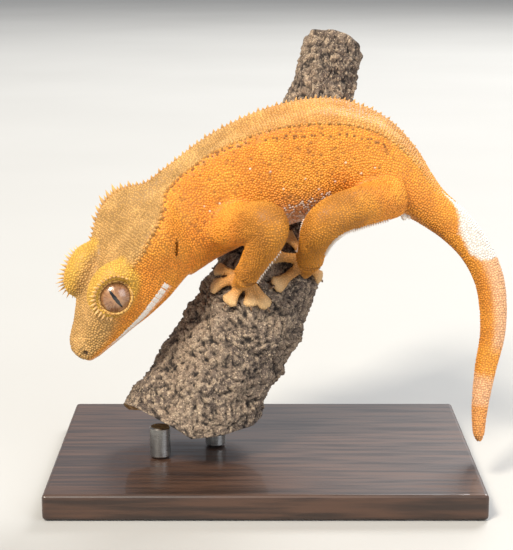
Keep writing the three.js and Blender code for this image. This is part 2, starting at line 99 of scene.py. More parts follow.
# %% Curves
def spline(points, t, closed=False):
    """Points at the shares t of a centripetal Catmull-Rom curve through points[..., n, axes]."""
    points = np.asarray(points, float)
    n = points.shape[-2]
    p = np.asarray(t, float) * (n if closed else n - 1)
    i = np.floor(p).astype(int)
    if closed:
        q = [np.take(points, (i + k) % n, axis=-2) for k in (-1, 0, 1, 2)]
    else:
        i = np.clip(i, 0, n - 2)
        first = 2 * points[..., :1, :] - points[..., 1:2, :]
        last = 2 * points[..., -1:, :] - points[..., -2:-1, :]
        longer = np.concatenate([first, points, last], axis=-2)
        q = [np.take(longer, i + k, axis=-2) for k in range(4)]
    w = (p - i)[..., None]
    d = [np.sqrt(np.linalg.norm(b - a, axis=-1, keepdims=True)) + 1e-9 for a, b in zip(q, q[1:])]
    a = ((q[1] - q[0]) / d[0] - (q[2] - q[0]) / (d[0] + d[1]) + (q[2] - q[1]) / d[1]) * d[1]
    b = ((q[2] - q[1]) / d[1] - (q[3] - q[1]) / (d[1] + d[2]) + (q[3] - q[2]) / d[2]) * d[1]
    return (q[1] + a * w + (3 * (q[2] - q[1]) - 2 * a - b) * w**2
            + (2 * (q[1] - q[2]) + a + b) * w**3)


def between(values, place):
    """A smooth value between the stations' own values."""
    values = np.asarray(values, float)
    i = np.clip(np.floor(place).astype(int), 0, len(values) - 2)
    w = place - i
    p = [values[np.clip(i + k, 0, len(values) - 1)] for k in (-1, 0, 1, 2)]
    a, b = (p[2] - p[0]) / 2, (p[3] - p[1]) / 2
    return p[1] + a * w + (3 * (p[2] - p[1]) - 2 * a - b) * w**2 + (2 * (p[1] - p[2]) + a + b) * w**3


def unit(v):
    return v / np.linalg.norm(v, axis=-1, keepdims=True)


def direction_along(points, t):
    return unit(spline(points, np.minimum(t + 1e-4, 1)) - spline(points, np.maximum(t - 1e-4, 0)))


def smooth(low, high, value):
    """0 below low, 1 above high, eased between them. low may be the larger one."""
    t = np.clip((value - low) / (high - low), 0, 1)
    return t * t * (3 - 2 * t)

# %% [markdown]
# ## The body's stations
# Each station gives a place and the half width, back, belly and crest row of the section there.
# The skull has its own three directions, because the head is turned down and towards us.

# %% Stations of the body
HEAD_AT = np.array([-25.3, -5.3, 58.1])
AHEAD = unit(np.array([-0.539, -0.192, -0.82]))
SIDE = unit(np.array([0.561, -0.808, -0.179]))
ABOVE = unit(np.cross(AHEAD, SIDE))


def head_point(forward, left, up):
    return HEAD_AT + AHEAD * forward + SIDE * left + ABOVE * up


def head_station(forward, middle, wide, back, belly, row_out, row_up, widest):
    at = head_point(forward, 0, middle)
    return (*at, wide, back - middle, belly + middle, row_out, row_up - middle, widest - middle, 34.6)


STATIONS = {
    "snout tip": head_station(32.9, 0.3, 1.5, 1.4, 0.9, 0.8, 1.3, 0.2),
    "snout": head_station(32.2, 0.4, 3.1, 2.9, 1.7, 1.9, 2.6, 0.4),
    "nostrils": head_station(30.2, 0.6, 4.4, 4.4, 2.8, 3.0, 3.9, 0.6),
    "muzzle": head_station(26, 1.0, 5.9, 5.8, 4.0, 3.8, 5.3, 0.4),
    "eye front": head_station(21, 1.2, 7.7, 7.5, 5.2, 4.8, 7.4, 0.2),
    "eyes": head_station(16, 1.3, 9.4, 8.8, 6.8, 5.4, 8.8, -0.2),
    "cheeks": head_station(9, 1.3, 10.9, 9.6, 8.8, 8.6, 9.6, -0.2),
    "crest corners": head_station(0.5, 1.4, 11.6, 10.2, 10.8, 10.9, 10.8, 0.0),
    "nape": (-22.3, -4.0, 61.5, 10.6, 10.2, 13.8, 4.8, 10.9, -2.0, 33),
    "neck": (-18.0, -1.2, 64.4, 10.8, 11.4, 14.2, 3.6, 11.8, -2.6, 31),
    "shoulders": (-10.8, 1.6, 68.2, 11.8, 12.7, 14.2, 3.9, 12.9, -3, 28),
    "chest": (-3.5, 2.8, 71.8, 12.2, 13.0, 14.2, 4.8, 12.9, -3, 25),
    "trunk": (6, 3.6, 75.4, 12.6, 13.3, 14.8, 5.0, 13.1, -3, 25),
    "loin": (15.5, 4, 77.2, 12.0, 12.6, 14.0, 5.0, 12.4, -2.6, 22),
    "hips front": (23.1, 3.8, 76.2, 10.6, 10.8, 11.2, 4.8, 10.5, -2, 17),
    "hips": (29.8, 3.1, 72.8, 8.8, 8.4, 8.6, 4.2, 8.1, -1, 13),
    "vent": (35.3, 2.3, 68.6, 6.4, 6.0, 6.8, 3.2, 5.7, 0, 12),
    "tail root": (39.5, 1.6, 65.2, 4.8, 4.6, 5.4, 2.6, 4.2, 0, 14),
    "tail upper": (44.9, 0.7, 60.8, 4.2, 4.2, 4.6, 2.3, 3.8, 0, 15),
    "tail bend": (49.9, -0.7, 55, 3.8, 3.9, 3.9, 2.1, 3.5, 0, 15),
    "tail middle": (53.4, -2.4, 47.4, 3.5, 3.6, 3.5, 1.9, 3.2, 0, 15),
    "tail lower": (54.2, -4.9, 36.5, 3.1, 3.1, 3.1, 1.7, 2.8, 0, 15),
    "tail thin": (52.4, -6.7, 26.9, 2.6, 2.6, 2.6, 1.5, 2.3, 0, 15),
    "tail pad": (51.1, -8.5, 18.0, 2.3, 2.0, 2.0, 1.3, 1.8, 0, 15),
    "tail end": (50.9, -9.8, 12.0, 1.9, 1.4, 1.4, 1.0, 1.2, 0, 15),
    "tail tip": (51.1, -10.2, 10.2, 0.8, 0.7, 0.7, 0.4, 0.6, 0, 15),
}
PLACE = {name: i for i, name in enumerate(STATIONS)}
LAST = len(STATIONS) - 1
TABLE = np.array(list(STATIONS.values()))


def body_frame(place):
    """The middle and the forward, left and up directions at places on the body."""
    t = np.clip(place / LAST, 0, 1)
    forward = -direction_along(TABLE[:, :3], t)
    level = np.array([0, -1.0, 0]) + forward * forward[..., 1:2]
    level = unit(level)
    upright = np.cross(forward, level)
    roll = np.radians(between(TABLE[:, 9], place))[..., None]
    up = upright * np.cos(roll) + level * np.sin(roll)
    left = level * np.cos(roll) - upright * np.sin(roll)
    return spline(TABLE[:, :3], t), forward, left, up


def body_rings(place, v):
    """Points [place, v]: v is 0 on the back, 1/8 on the left crest row and 1/2 on the belly."""
    wide, back, belly, row_out, row_up, widest = [between(TABLE[:, k], place) for k in range(3, 9)]
    side = [(row_out, row_up), (wide, widest), (wide * 0.8, widest - (belly + widest) * 0.62)]
    corners = [(0 * wide, back), *side, (0 * wide, -belly), *[(-a, b) for a, b in side[::-1]]]
    outline = spline(np.array(corners).transpose(2, 0, 1), v, closed=True)
    at, _, left, up = body_frame(place)
    return (at[:, None] + left[:, None] * outline[..., :1] + up[:, None] * outline[..., 1:])


print("body:", len(STATIONS), "stations, the head is", PLACE["crest corners"], "of them long")

# %% [markdown]
# ## The branch
# The real perch is a limb with rough, furrowed bark. Its large plates come from the same waves as
# the solid's, so the feet still touch it. Finer plates and grit are added later, inside them.

# %% Branch surface
BRANCH = np.array([(-20.9, -6.1, 10.3), (-9.5, 1.8, 28.3), (-1.0, 9, 42.9), (8.6, 26, 70.1),
                   (18.1, 44.7, 100.2)])
BRANCH_RADII = [15.5, 14.2, 13.3, 10.2, 7.8]
BARK_RELIEF = 0.9


def bark_frame(along, around, lift=0.0):
    """Surface point, normal and run of the branch. around is in degrees, 0 towards the viewer."""
    along, around = np.broadcast_arrays(np.asarray(along, float), np.asarray(around, float))
    a = np.radians(around)
    plates = np.sin(5 * a + 3 * np.sin(along * 9)) * np.sin(along * 31 + 2 * np.cos(2 * a))
    furrows = np.sin(9 * a - along * 14) * 0.6 + np.sin(4 * a + along * 47) * 0.5
    height = BARK_RELIEF * (0.6 * plates + 0.5 * furrows) + lift
    run = direction_along(BRANCH, along)
    front = unit(np.array([0, -1.0, 0]) + run * run[..., 1:2])
    side = np.cross(front, run)
    normal = front * np.cos(a)[..., None] + side * np.sin(a)[..., None]
    radius = between(BRANCH_RADII, along * (len(BRANCH) - 1)) + height
    return spline(BRANCH, along) + normal * radius[..., None], normal, run


# %% [markdown]
# ## Legs
# A leg is a bent tube from the hip or shoulder to the wrist, a flat palm on the bark, and five
# toes that each end in a round pad. Where a toe lands is given on the branch, along and around it.

# %% Legs and toes
SKIN_INSET = 0.2
TOE_WIDTH = 2.2
PAD_WIDTH = 4.4
LEGS = {
    "front_left": dict(
        root=(-9.6, -6.5, 61.5), joint=(0.7, -17, 63.6), wrist=(-4.2, -10.4, 50.6), thick=(4.8, 5.0, 3.0),
        palm=(0.468, 22), toes=[(0.468, 52, 0.8, 0.6), (0.412, 52, 1, 0), (0.382, 29, 1, 0),
                                (0.405, 10, 0.85, 0), (0.425, -3, 0.85, 0)]),
    "front_right": dict(
        root=(-11.8, 8.6, 65.5), joint=(-16.5, 21.5, 70.5), wrist=(-9.6, 22.5, 60.5), thick=(4.4, 4.4, 2.8),
        palm=(0.62, 118), toes=[(0.69, 110, 1, 0), (0.7, 136, 1, 0), (0.65, 158, 1, 0),
                                (0.59, 160, 1, 0), (0.56, 135, 1, 0)]),
    "hind_left": dict(
        root=(30.4, -2, 67.8), joint=(14.1, -15.6, 64.4), wrist=(10.4, -5.6, 53.6), thick=(5.2, 5.0, 3.3),
        palm=(0.553, -27), toes=[(0.588, -2, 0.85, 0), (0.54, 7, 1, 0), (0.49, -7, 1, 0),
                                 (0.548, -56, 0.85, 0), (0.602, -36, 0.85, 0)]),
    "hind_right": dict(
        root=(29.1, 8.5, 73), joint=(25.5, 29.5, 76), wrist=(17.2, 28.4, 62.5), thick=(5.0, 4.8, 3.2),
        palm=(0.665, -112), toes=[(0.75, -112, 1, 0), (0.735, -140, 1, 0), (0.68, -158, 1, 0),
                                  (0.61, -152, 1, 0), (0.58, -125, 1, 0)]),
}


def tube(points, across, through, sideways, rings, sides):
    """Rings of points round a smooth path, each an ellipse."""
    points = np.array(points)
    t = np.linspace(0, 1, rings)
    at, run = spline(points, t), direction_along(points, t)
    side = unit(sideways - run * (run @ sideways)[:, None])
    up = np.cross(run, side)
    place = t * (len(points) - 1)
    angle = np.arange(sides) / sides * 2 * np.pi
    wide, deep = between(across, place), between(through, place)
    return (at[:, None] + side[:, None] * (np.cos(angle)[None, :, None] * wide[:, None, None])
            + up[:, None] * (np.sin(angle)[None, :, None] * deep[:, None, None]))


def toe_path(palm, pad):
    along, around, size, curl = pad
    shares = [0, 0.3, 0.62, 0.86, 1.02, 1.16]
    lifts = [1.7, 1.9, 1.3 + curl, 0.9 + curl, 0.8 + curl, 0.6 + curl]
    return [bark_frame(palm[0] + (along - palm[0]) * t, palm[1] + (around - palm[1]) * t, lift)[0]
            for t, lift in zip(shares, lifts)]


def leg_tubes(leg):
    """The limb, the palm and the five toes, each as (kind, rings)."""
    root, joint, wrist = [np.array(leg[key]) for key in ("root", "joint", "wrist")]
    thick = np.array(leg["thick"])
    over, normal, _ = bark_frame(*leg["palm"], 2.0)
    heel = over + (wrist - over) * 0.45 + normal * 0.7
    bend = unit(np.cross(unit(joint - root), unit(wrist - joint)))
    made = [("limb", tube([root, joint, wrist], thick * 0.92, thick, bend, 48, 40))]
    across = unit(np.cross(over - wrist, normal))
    knuckles = over * 1.8 - heel * 0.8
    made.append(("palm", tube([wrist, heel, over, knuckles], [thick[2], thick[2] * 1.1, 4.2, 3.3],
                              [thick[2], 2.2, 1.8, 1.3], across, 22, 28)))
    for pad in leg["toes"]:
        path = toe_path(leg["palm"], pad)
        _, normal, _ = bark_frame(pad[0], pad[1])
        sideways = unit(np.cross(unit(path[4] - path[2]), normal))
        wide = np.array([0.66, 0.6, 0.56, 0.9, 1.04, 0.6]) * pad[2]
        wide = wide * np.array([TOE_WIDTH] * 3 + [PAD_WIDTH / 2] * 3) + SKIN_INSET / 2
        deep = np.array([1.3, 1.15, 0.95, 0.85, 0.8, 0.5]) * pad[2] + SKIN_INSET / 2
        made.append(("toe", tube(path, wide, deep, sideways, 26, 20)))
    return made


leg_parts = {name: leg_tubes(leg) for name, leg in LEGS.items()}
print("legs:", sum(len(parts) for parts in leg_parts.values()), "tubes")

# %% [markdown]
# ## One skin from many tubes
# Real skin runs on from trunk to leg with no seam. Subdivision or remeshing could do that, but a
# distance field gives the most control: each tube becomes a grid of distances to its surface, and
# a soft minimum joins two grids with a fillet. Sockets, nostrils and ears are cut from the field.

# %% Distance fields
VOXEL = 0.46
BAND = 7
lattice = vdb.createLinearTransform(VOXEL)
flesh = [n for n in frame["nodes"] if not n.startswith(("eye", "perch", "stand"))]
corners = np.array([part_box(n) for n in flesh]) / MM
field_low = np.floor(corners.min((0, 1)) / VOXEL).astype(int) - 2 * BAND
field_size = np.ceil(corners.max((0, 1)) / VOXEL).astype(int) + 2 * BAND - field_low
field = np.full(field_size, BAND * VOXEL, np.float32)


def surface_of(rings):
    """Points and triangles of a closed surface through rings, wound outwards."""
    count, sides = rings.shape[:2]
    points = np.vstack([rings.reshape(-1, 3), rings[0].mean(0), rings[-1].mean(0)])
    i, j = np.meshgrid(np.arange(count - 1), np.arange(sides), indexing="ij")
    a, b = i * sides + j, i * sides + (j + 1) % sides
    walls = np.stack([a, b, b + sides, a, b + sides, a + sides], -1).reshape(-1, 3)
    k = np.arange(sides)
    start = np.stack([(k + 1) % sides, k, k * 0 + count * sides], -1)
    end = np.stack([k, (k + 1) % sides, k * 0 + sides + 1], -1) + (count - 1) * sides
    end[:, 2] = count * sides + 1
    triangles = np.vstack([walls, start, end])
    a, b, c = points[triangles[:, 0]], points[triangles[:, 1]], points[triangles[:, 2]]
    outward = np.einsum("ij,ij->", a - points.mean(0), np.cross(b - a, c - a)) > 0
    return points, triangles if outward else triangles[:, ::-1]


def distances(points, triangles, margin=BAND):
    """A block of signed distances round a closed surface, and its lowest lattice index."""
    grid = vdb.FloatGrid.createLevelSetFromPolygons(
        points.astype(np.float32), triangles=np.ascontiguousarray(triangles, np.uint32),
        transform=lattice, halfWidth=float(BAND))
    low = np.maximum(np.floor(points.min(0) / VOXEL).astype(int) - margin, field_low)
    high = np.minimum(np.ceil(points.max(0) / VOXEL).astype(int) + margin, field_low + field_size)
    block = np.full(high - low, BAND * VOXEL, np.float32)
    grid.copyToArray(block, ijk=tuple(int(k) for k in low))
    return block, low


def region(low, shape):
    return tuple(slice(a, a + s) for a, s in zip(low - field_low, shape))


def join_softly(block, low, fillet):
    part = region(low, block.shape)
    here = field[part]
    h = np.clip(0.5 + 0.5 * (here - block) / fillet, 0, 1)
    field[part] = here * (1 - h) + block * h - fillet * h * (1 - h)


def ellipsoid_field(center, directions, radii, reach=2.5):
    span = int((max(radii) + reach) / VOXEL) + 1
    low = np.maximum(np.round(center / VOXEL).astype(int) - span, field_low)
    high = np.minimum(low + 2 * span, field_low + field_size)
    index = np.stack(np.meshgrid(*map(np.arange, low, high), indexing="ij"), -1)
    local = (index * VOXEL - center) @ np.array(directions).T
    k0 = np.linalg.norm(local / radii, axis=-1) + 1e-6
    k1 = np.linalg.norm(local / np.array(radii) ** 2, axis=-1) + 1e-6
    return (k0 * (k0 - 1) / k1).astype(np.float32), low


def cut_softly(block, low, fillet):
    part = region(low, block.shape)
    here = field[part]
    h = np.clip(0.5 - 0.5 * (here + block) / fillet, 0, 1)
    field[part] = here * (1 - h) - block * h + fillet * h * (1 - h)

# %% [markdown]
# ## Head
# A crested gecko's brow stands over each eye as a dome. The eye looks out and a little up through a
# round opening. Both are ellipsoids set from the eye's own directions.

# %% Eye places
EYE_RADIUS = 4.5
EYE_AT = (15.9, 6.2, 6.4)
EYE_LOOK = (0.1, 0.85, 0.5)
BROW_SHIFT = (-1.2, 1.6, 1.2)
BROW_RADII = (7.0, 5.2, 4.2)
LID_RADII = (5.2, 4.55, 4.2)
LID_OUT = 5.4
COLLAR = 0.72
NOSTRIL = (31.2, 3.4, 2.4)


def eye_frame(side):
    """The eye's middle and its ahead, above and out directions, for side 1 left or -1 right."""
    center = head_point(EYE_AT[0], EYE_AT[1] * side, EYE_AT[2])
    out = unit(AHEAD * EYE_LOOK[0] + SIDE * EYE_LOOK[1] * side + ABOVE * EYE_LOOK[2])
    ahead = unit(AHEAD - out * (AHEAD @ out))
    return center, ahead, np.cross(ahead, out) * side, out


# %% Join the flesh
body_places = np.linspace(0, LAST, 300)
body_v = np.arange(96) / 96
join_softly(*distances(*surface_of(body_rings(body_places, body_v))), 0.01)
for side in (1, -1):
    center, ahead, above, out = eye_frame(side)
    middle = center + ahead * BROW_SHIFT[0] + above * BROW_SHIFT[1] + out * BROW_SHIFT[2]
    join_softly(*ellipsoid_field(middle, (ahead, above, out), BROW_RADII), 1.4)
    join_softly(*ellipsoid_field(center, (ahead, above, out), [EYE_RADIUS + COLLAR] * 3), 0.9)
FILLET = {"limb": 2.2, "palm": 1.4, "toe": 0.7}
for name, parts in leg_parts.items():
    for kind, rings in parts:
        join_softly(*distances(*surface_of(rings)), FILLET[kind])
print("field:", field.shape, "cells, inside", int((field < 0).sum()))

# %% Cut the sockets, ears, nostrils and the branch
field += SKIN_INSET
for side in (1, -1):
    center, ahead, above, out = eye_frame(side)
    axes = (ahead, above, out)
    cut_softly(*ellipsoid_field(center + out * LID_OUT, axes, LID_RADII), 0.7)
    cut_softly(*ellipsoid_field(center, axes, [EYE_RADIUS + 0.12] * 3), 0.2)
    skull = (AHEAD, SIDE, ABOVE)
    nostril_at = head_point(NOSTRIL[0], NOSTRIL[1] * side, NOSTRIL[2])
    cut_softly(*ellipsoid_field(nostril_at, skull, (0.75, 0.85, 0.6)), 0.3)
    slit = (unit(-0.8 * AHEAD + 0.6 * ABOVE), SIDE, unit(0.6 * AHEAD + 0.8 * ABOVE))
    cut_softly(*ellipsoid_field(head_point(-0.7, 11.0 * side, 2.8), slit, (2.1, 1.7, 0.46)), 0.2)
branch_rings = bark_frame(np.linspace(0, 1, 140)[:, None], np.arange(120)[None] * 3.0)[0]
branch_block, branch_low = distances(*surface_of(branch_rings))
flesh_only = field.copy()
CONTACT = 0.12
cut_softly(branch_block - CONTACT, branch_low, 0.1)

# %% Turn the field into the skin mesh
def sample(values, points):
    """Values between the lattice points, at places in millimetres."""
    p = points / VOXEL - field_low
    i = np.clip(np.floor(p).astype(int), 0, np.array(values.shape) - 2)
    w = p - i
    total = 0
    for corner in np.ndindex(2, 2, 2):
        weight = np.prod(np.where(corner, w, 1 - w), axis=-1)
        total = total + weight * values[tuple((i + corner).T)]
    return total


def outward(points, values=None):
    """The skin's normal at places near it, from the slope of the field."""
    values = flesh_only if values is None else values
    step = np.eye(3) * VOXEL * 0.6
    slope = np.stack([sample(values, points + s) - sample(values, points - s) for s in step], -1)
    return slope / (np.linalg.norm(slope, axis=-1, keepdims=True) + 1e-9)


def onto_skin(points, steps=4):
    """Moves points along the field's slope until they lie on the skin."""
    for _ in range(steps):
        points = points - outward(points) * sample(flesh_only, points)[:, None]
    return points


def mesh_piece(name, points, faces, smooth_faces=True):
    mesh = bpy.data.meshes.new(name)
    mesh.from_pydata((np.asarray(points) * MM).tolist(), [], np.asarray(faces).tolist() if
                     isinstance(faces, np.ndarray) else faces)
    mesh.polygons.foreach_set("use_smooth", [smooth_faces] * len(mesh.polygons))
    piece = bpy.data.objects.new(name, mesh)
    scene.collection.objects.link(piece)
    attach(piece, "root")
    return piece


grid = vdb.FloatGrid(float(BAND * VOXEL))
grid.copyFromArray(field, ijk=tuple(int(k) for k in field_low))
grid.transform = lattice
skin_points, skin_triangles, skin_quads = grid.convertToPolygons(0.0, 0.0)
normals = outward(skin_points, field)
a, b, c = [skin_points[skin_quads[:, k]] for k in range(3)]
turned = np.einsum("ij,ij->", np.cross(b - a, c - a), normals[skin_quads[:, 0]]) < 0
skin_faces = skin_quads[:, ::-1] if turned else skin_quads
skin = mesh_piece("skin", skin_points, skin_faces.astype(int))
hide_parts(*flesh)
print("skin:", len(skin_points), "points,", len(skin_faces), "quads,", len(skin_triangles), "triangles")

# %% [markdown]
# ## Markings as numbers
# The colours of the animal belong to places on its body, so they are written for its own
# coordinates and not drawn onto an image: each rule turns place and angle into a number from 0 to 1.
# Some numbers carry painted shade too: the dark inside the nostrils and ear slits, and the darker
# colour of the tail below its top ridge. Skin and scales look the numbers up at the nearest chart points, so both carry
# the same markings.

# %% Rules for the markings
# dark carries dark flecks, painted shade in the nostrils and ear slits and painted shadows of the crest scales; limb
# also carries painted shade on the tail.
MARKS = ("back", "belly", "white", "cream", "limb", "pad", "brow", "dark")
ROW_PLACES = [0, 3, 4.6, 5.6, 6.0, 6.6, 6.9, 7.8, 9.35, 11.0, 12.2, 13.0, 16.0]
ROW_LEFT = [0.28, 0.25, 0.19, 0.155, 0.14, 0.14, 0.122, 0.078, 0.086, 0.11, 0.13, 0.14, 0.13]
ROW_RIGHT = [0.28, 0.25, 0.19, 0.155, 0.14, 0.125, 0.125, 0.125, 0.125, 0.125, 0.125, 0.125, 0.125]
TAIL_WHITE_PLACES = [16.8, 17.5, 17.9, 18.3, 19.05, 19.4]
TAIL_WHITE_EDGE = [-0.02, 0.04, 0.15, 0.22, 0.28, 0.2]


def crest_row(place, side):
    return np.interp(place, ROW_PLACES, ROW_LEFT if side > 0 else ROW_RIGHT)


def body_marks(place, v):
    """Markings at places and angles of the body, as columns in the order of MARKS."""
    place, v = np.broadcast_arrays(place, v)
    fold = np.minimum(v, 1 - v)
    row = np.where(v < 0.5, crest_row(place, 1), crest_row(place, -1))
    soft = np.interp(place, [4.6, 6.0], [0.04, 0.008])
    ragged = 0.012 * np.sin(place * 41 + 3 * np.sin(v * 57)) + 0.01 * np.sin(place * 97 + v * 190)
    back = smooth(row + soft, row - soft, fold + 0.3 * ragged) * smooth(17.4, 14.6, place)
    back = back * (1 - 0.4 * smooth(9.6, 13.0, place))
    low_flank = 0.11 * smooth(10.4, 11.3, place) * smooth(13.2, 12.5, place)
    belly = smooth(0.33, 0.46, fold + ragged + low_flank) * smooth(18.0, 15.5, place)
    edge = np.interp(place, TAIL_WHITE_PLACES, TAIL_WHITE_EDGE, left=-1, right=-1)
    white = smooth(edge + 0.012, edge - 0.012, fold + ragged)
    strip = smooth(0.25, 0.19, fold + ragged) * smooth(19.2, 19.5, place) * smooth(21.7, 21.2, place)
    band = smooth(22.0, 22.3, place + ragged * 4) * smooth(23.1, 22.8, place)
    cream = np.maximum(np.maximum(0.8 * strip, 0.75 * band), 0.25 * smooth(21.5, 23.5, place))
    none = np.zeros(place.shape)
    # The tail below its top ridge takes the darker limb colour: partly the tail's own browner colour, partly painted
    # shade on its sides and underside.
    tail = 0.5 * smooth(15.8, 17.4, place) * smooth(0.05, 0.3, fold)
    return np.stack([back, belly, white, cream, tail, none, none, none], -1)


def limb_marks(kind, t):
    none = np.zeros(t.shape)
    limb = smooth(0.08, 0.4, t) if kind == "limb" else none + 1
    pad = {"limb": none, "palm": 0.35 * smooth(0.2, 1, t), "toe": 0.35 + 0.65 * smooth(0.3, 0.75, t)}
    return np.stack([none, none, none, none, limb, pad[kind], none, none], -1)

# %% Chart points that carry them
charts = []
angles = body_v[None]
body_grid = body_rings(body_places, body_v)
charts.append((body_grid, body_marks(body_places[:, None], angles), body_places[:, None] / LAST, 0.0, 0.5))
shelf = 0.5
for name, parts in leg_parts.items():
    for kind, rings in parts:
        t = np.linspace(0, 1, len(rings))[:, None] + np.zeros(rings.shape[1])
        charts.append((rings, limb_marks(kind, t), t, shelf, 0.016))
        shelf += 0.017
chart_points, chart_marks, chart_uv = [], [], []
for rings, marks, along, low, height in charts:
    around = np.arange(rings.shape[1]) / rings.shape[1] + np.zeros(rings.shape[:2])
    near = np.abs(sample(flesh_only, rings.reshape(-1, 3))) < 1.2
    uv = np.stack([0.01 + 0.98 * (along + 0 * around), low + height * around], -1)
    chart_points.append(rings.reshape(-1, 3)[near])
    chart_marks.append(marks.reshape(-1, len(MARKS))[near])
    chart_uv.append(uv.reshape(-1, 2)[near])
chart_points, chart_marks, chart_uv = map(np.vstack, (chart_points, chart_marks, chart_uv))
tree = kdtree.KDTree(len(chart_points))
for i, p in enumerate(chart_points):
    tree.insert(p, i)
tree.balance()
print("chart points:", len(chart_points))


def eye_local(points, side):
    center, ahead, above, out = eye_frame(side)
    return (points - center) @ np.stack([ahead, above, out], 1)


def marks_at(points):
    """Markings and bake coordinates at skin points."""
    marks, uv = np.zeros((len(points), len(MARKS))), np.zeros((len(points), 2))
    for i, p in enumerate(points):
        found = tree.find_n(p, 4)
        weights = np.array([1 / (distance**2 + 0.05) for _, _, distance in found])
        index = [k for _, k, _ in found]
        marks[i] = weights @ chart_marks[index] / weights.sum()
        uv[i] = chart_uv[index[0]]
    for side in (1, -1):
        local = eye_local(points, side)
        dome = np.linalg.norm((local - np.array(BROW_SHIFT)) / BROW_RADII, axis=1)
        brow = smooth(1.22, 1.0, dome) * smooth(-1.5, 1.0, local[:, 2])
        marks[:, 6] = np.maximum(marks[:, 6], brow)
        # Painted shade: the nostrils and the ear slits are painted dark inside.
        nostril = np.linalg.norm(points - head_point(NOSTRIL[0], NOSTRIL[1] * side, NOSTRIL[2]), axis=1)
        ear = (points - head_point(-0.7, 11.0 * side, 2.8)) @ np.stack([slit[0], slit[2], SIDE], 1)
        hole = np.linalg.norm(ear / (2.2, 0.42, 2.6), axis=1)
        dark = np.maximum(smooth(0.95, 0.6, nostril), smooth(1.15, 0.85, hole))
        marks[:, 7] = np.maximum(marks[:, 7], dark)
    return marks, uv


def paint(piece, columns):
    """Stores numbers per point of the mesh under their names, for the materials."""
    for name, values in columns.items():
        attribute = piece.data.attributes.new(name, "FLOAT", "POINT")
        attribute.data.foreach_set("value", np.ascontiguousarray(values, np.float32))


skin_marks, _ = marks_at(skin_points)
# rise 0 gives the skin between the granules the painted shade of the gaps.
paint(skin, dict(zip(MARKS, skin_marks.T), tone=0 * skin_marks[:, 0] + 0.5, rise=0 * skin_marks[:, 0]))

# %% [markdown]
# ## Granules
# The skin of a gecko is covered in tiny domed granules in fine, wavy rows. A bump map would do on
# the flank, but the outline and the raking light need real relief. Rows follow the charts, and
# the fillets between them are filled with points that keep their distance from the rest.

# %% Joined domes and spikes
def tufts(name, roots, marks, uv, radius, height, lean, slot, tone=None, profile=((-0.4, 1), (0.55, 0.72)),
          sides=5, stretch=1.0, square=0.0):
    """Joined little solids on the skin. lean is the tip's shift; its direction also orients them."""
    made = []
    count = len(roots)
    normals = outward(roots)
    tone = random.random(count) if tone is None else np.zeros(count) + tone
    radius, height, stretch = [np.zeros(count) + k for k in (radius, height, stretch)]
    flat = lean - normals * np.sum(lean * normals, 1)[:, None]
    first = unit(flat + 1e-6)
    second = np.cross(normals, first)
    each = sides * len(profile) + 1
    limit = 190000 // (sides * (2 * len(profile) - 1))
    angle = np.arange(sides) / sides * 2 * np.pi
    corner = np.maximum(np.abs(np.cos(angle)), np.abs(np.sin(angle))) ** -square
    for start in range(0, count, limit):
        part = slice(start, min(count, start + limit))
        n, a, b = normals[part], first[part], second[part]
        r, h, s = radius[part][:, None, None], height[part][:, None, None], stretch[part][:, None, None]
        layers, bake = [], []
        for up, wide in profile:
            ring = (a[:, None] * (np.cos(angle) * corner)[None, :, None]
                    + b[:, None] * (np.sin(angle) * corner)[None, :, None] * s) * r * wide
            layers.append(roots[part][:, None] + ring + n[:, None] * h * up
                          + flat[part][:, None] * max(up, 0) ** 1.5)
            circle = np.stack([np.cos(angle), np.sin(angle)], -1) * 0.0015 * wide
            bake.append(uv[part][:, None] + circle)
        layers.append((roots[part] + n * h[:, 0] + flat[part])[:, None])
        bake.append(uv[part][:, None])
        points = np.concatenate(layers, 1)
        k = np.arange(sides)
        k2 = (k + 1) % sides
        faces = []
        for layer in range(len(profile) - 1):
            low, top = layer * sides, (layer + 1) * sides
            faces += [np.stack([low + k, low + k2, top + k2], -1), np.stack([low + k, top + k2, top + k], -1)]
        low = (len(profile) - 1) * sides
        faces.append(np.stack([low + k, low + k2, k * 0 + each - 1], -1))
        faces = np.concatenate(faces)
        size = len(points)
        triangles = (faces[None] + np.arange(size)[:, None, None] * each).reshape(-1, 3)
        piece = fast_piece(f"{name}_{len(made)}", points.reshape(-1, 3), triangles,
                           np.concatenate(bake, 1).reshape(-1, 2))
        # rise, 0 at the base and 1 at the tip, drives the painted shade between the granules and the painted highlight
        # on their tops.
        rise = np.concatenate([np.full(sides, max(up, 0)) for up, _ in profile] + [[1.0]])
        columns = {m: np.repeat(marks[part][:, i], each) for i, m in enumerate(MARKS)}
        columns.update(tone=np.repeat(tone[part], each), rise=np.tile(rise, size))
        paint(piece, columns)
        made.append(piece)
    return made


def fast_piece(name, points, triangles, uv=None):
    mesh = bpy.data.meshes.new(name)
    mesh.vertices.add(len(points))
    mesh.vertices.foreach_set("co", np.ascontiguousarray(points * MM, np.float32).ravel())
    mesh.loops.add(triangles.size)
    mesh.loops.foreach_set("vertex_index", np.ascontiguousarray(triangles, np.int32).ravel())
    mesh.polygons.add(len(triangles))
    mesh.polygons.foreach_set("loop_start", np.arange(0, triangles.size, 3, dtype=np.int32))
    mesh.polygons.foreach_set("use_smooth", np.ones(len(triangles), bool))
    if uv is not None:
        layer = mesh.uv_layers.new(name="OFBake")
        layer.data.foreach_set("uv", np.ascontiguousarray(uv[triangles.ravel()], np.float32).ravel())
    mesh.update(calc_edges=True)
    piece = bpy.data.objects.new(name, mesh)
    scene.collection.objects.link(piece)
    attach(piece, "root")
    return piece

# %% Places of the granules
SPACING = {"body": 0.62, "limb": 0.54, "palm": 0.46, "toe": 0.42}


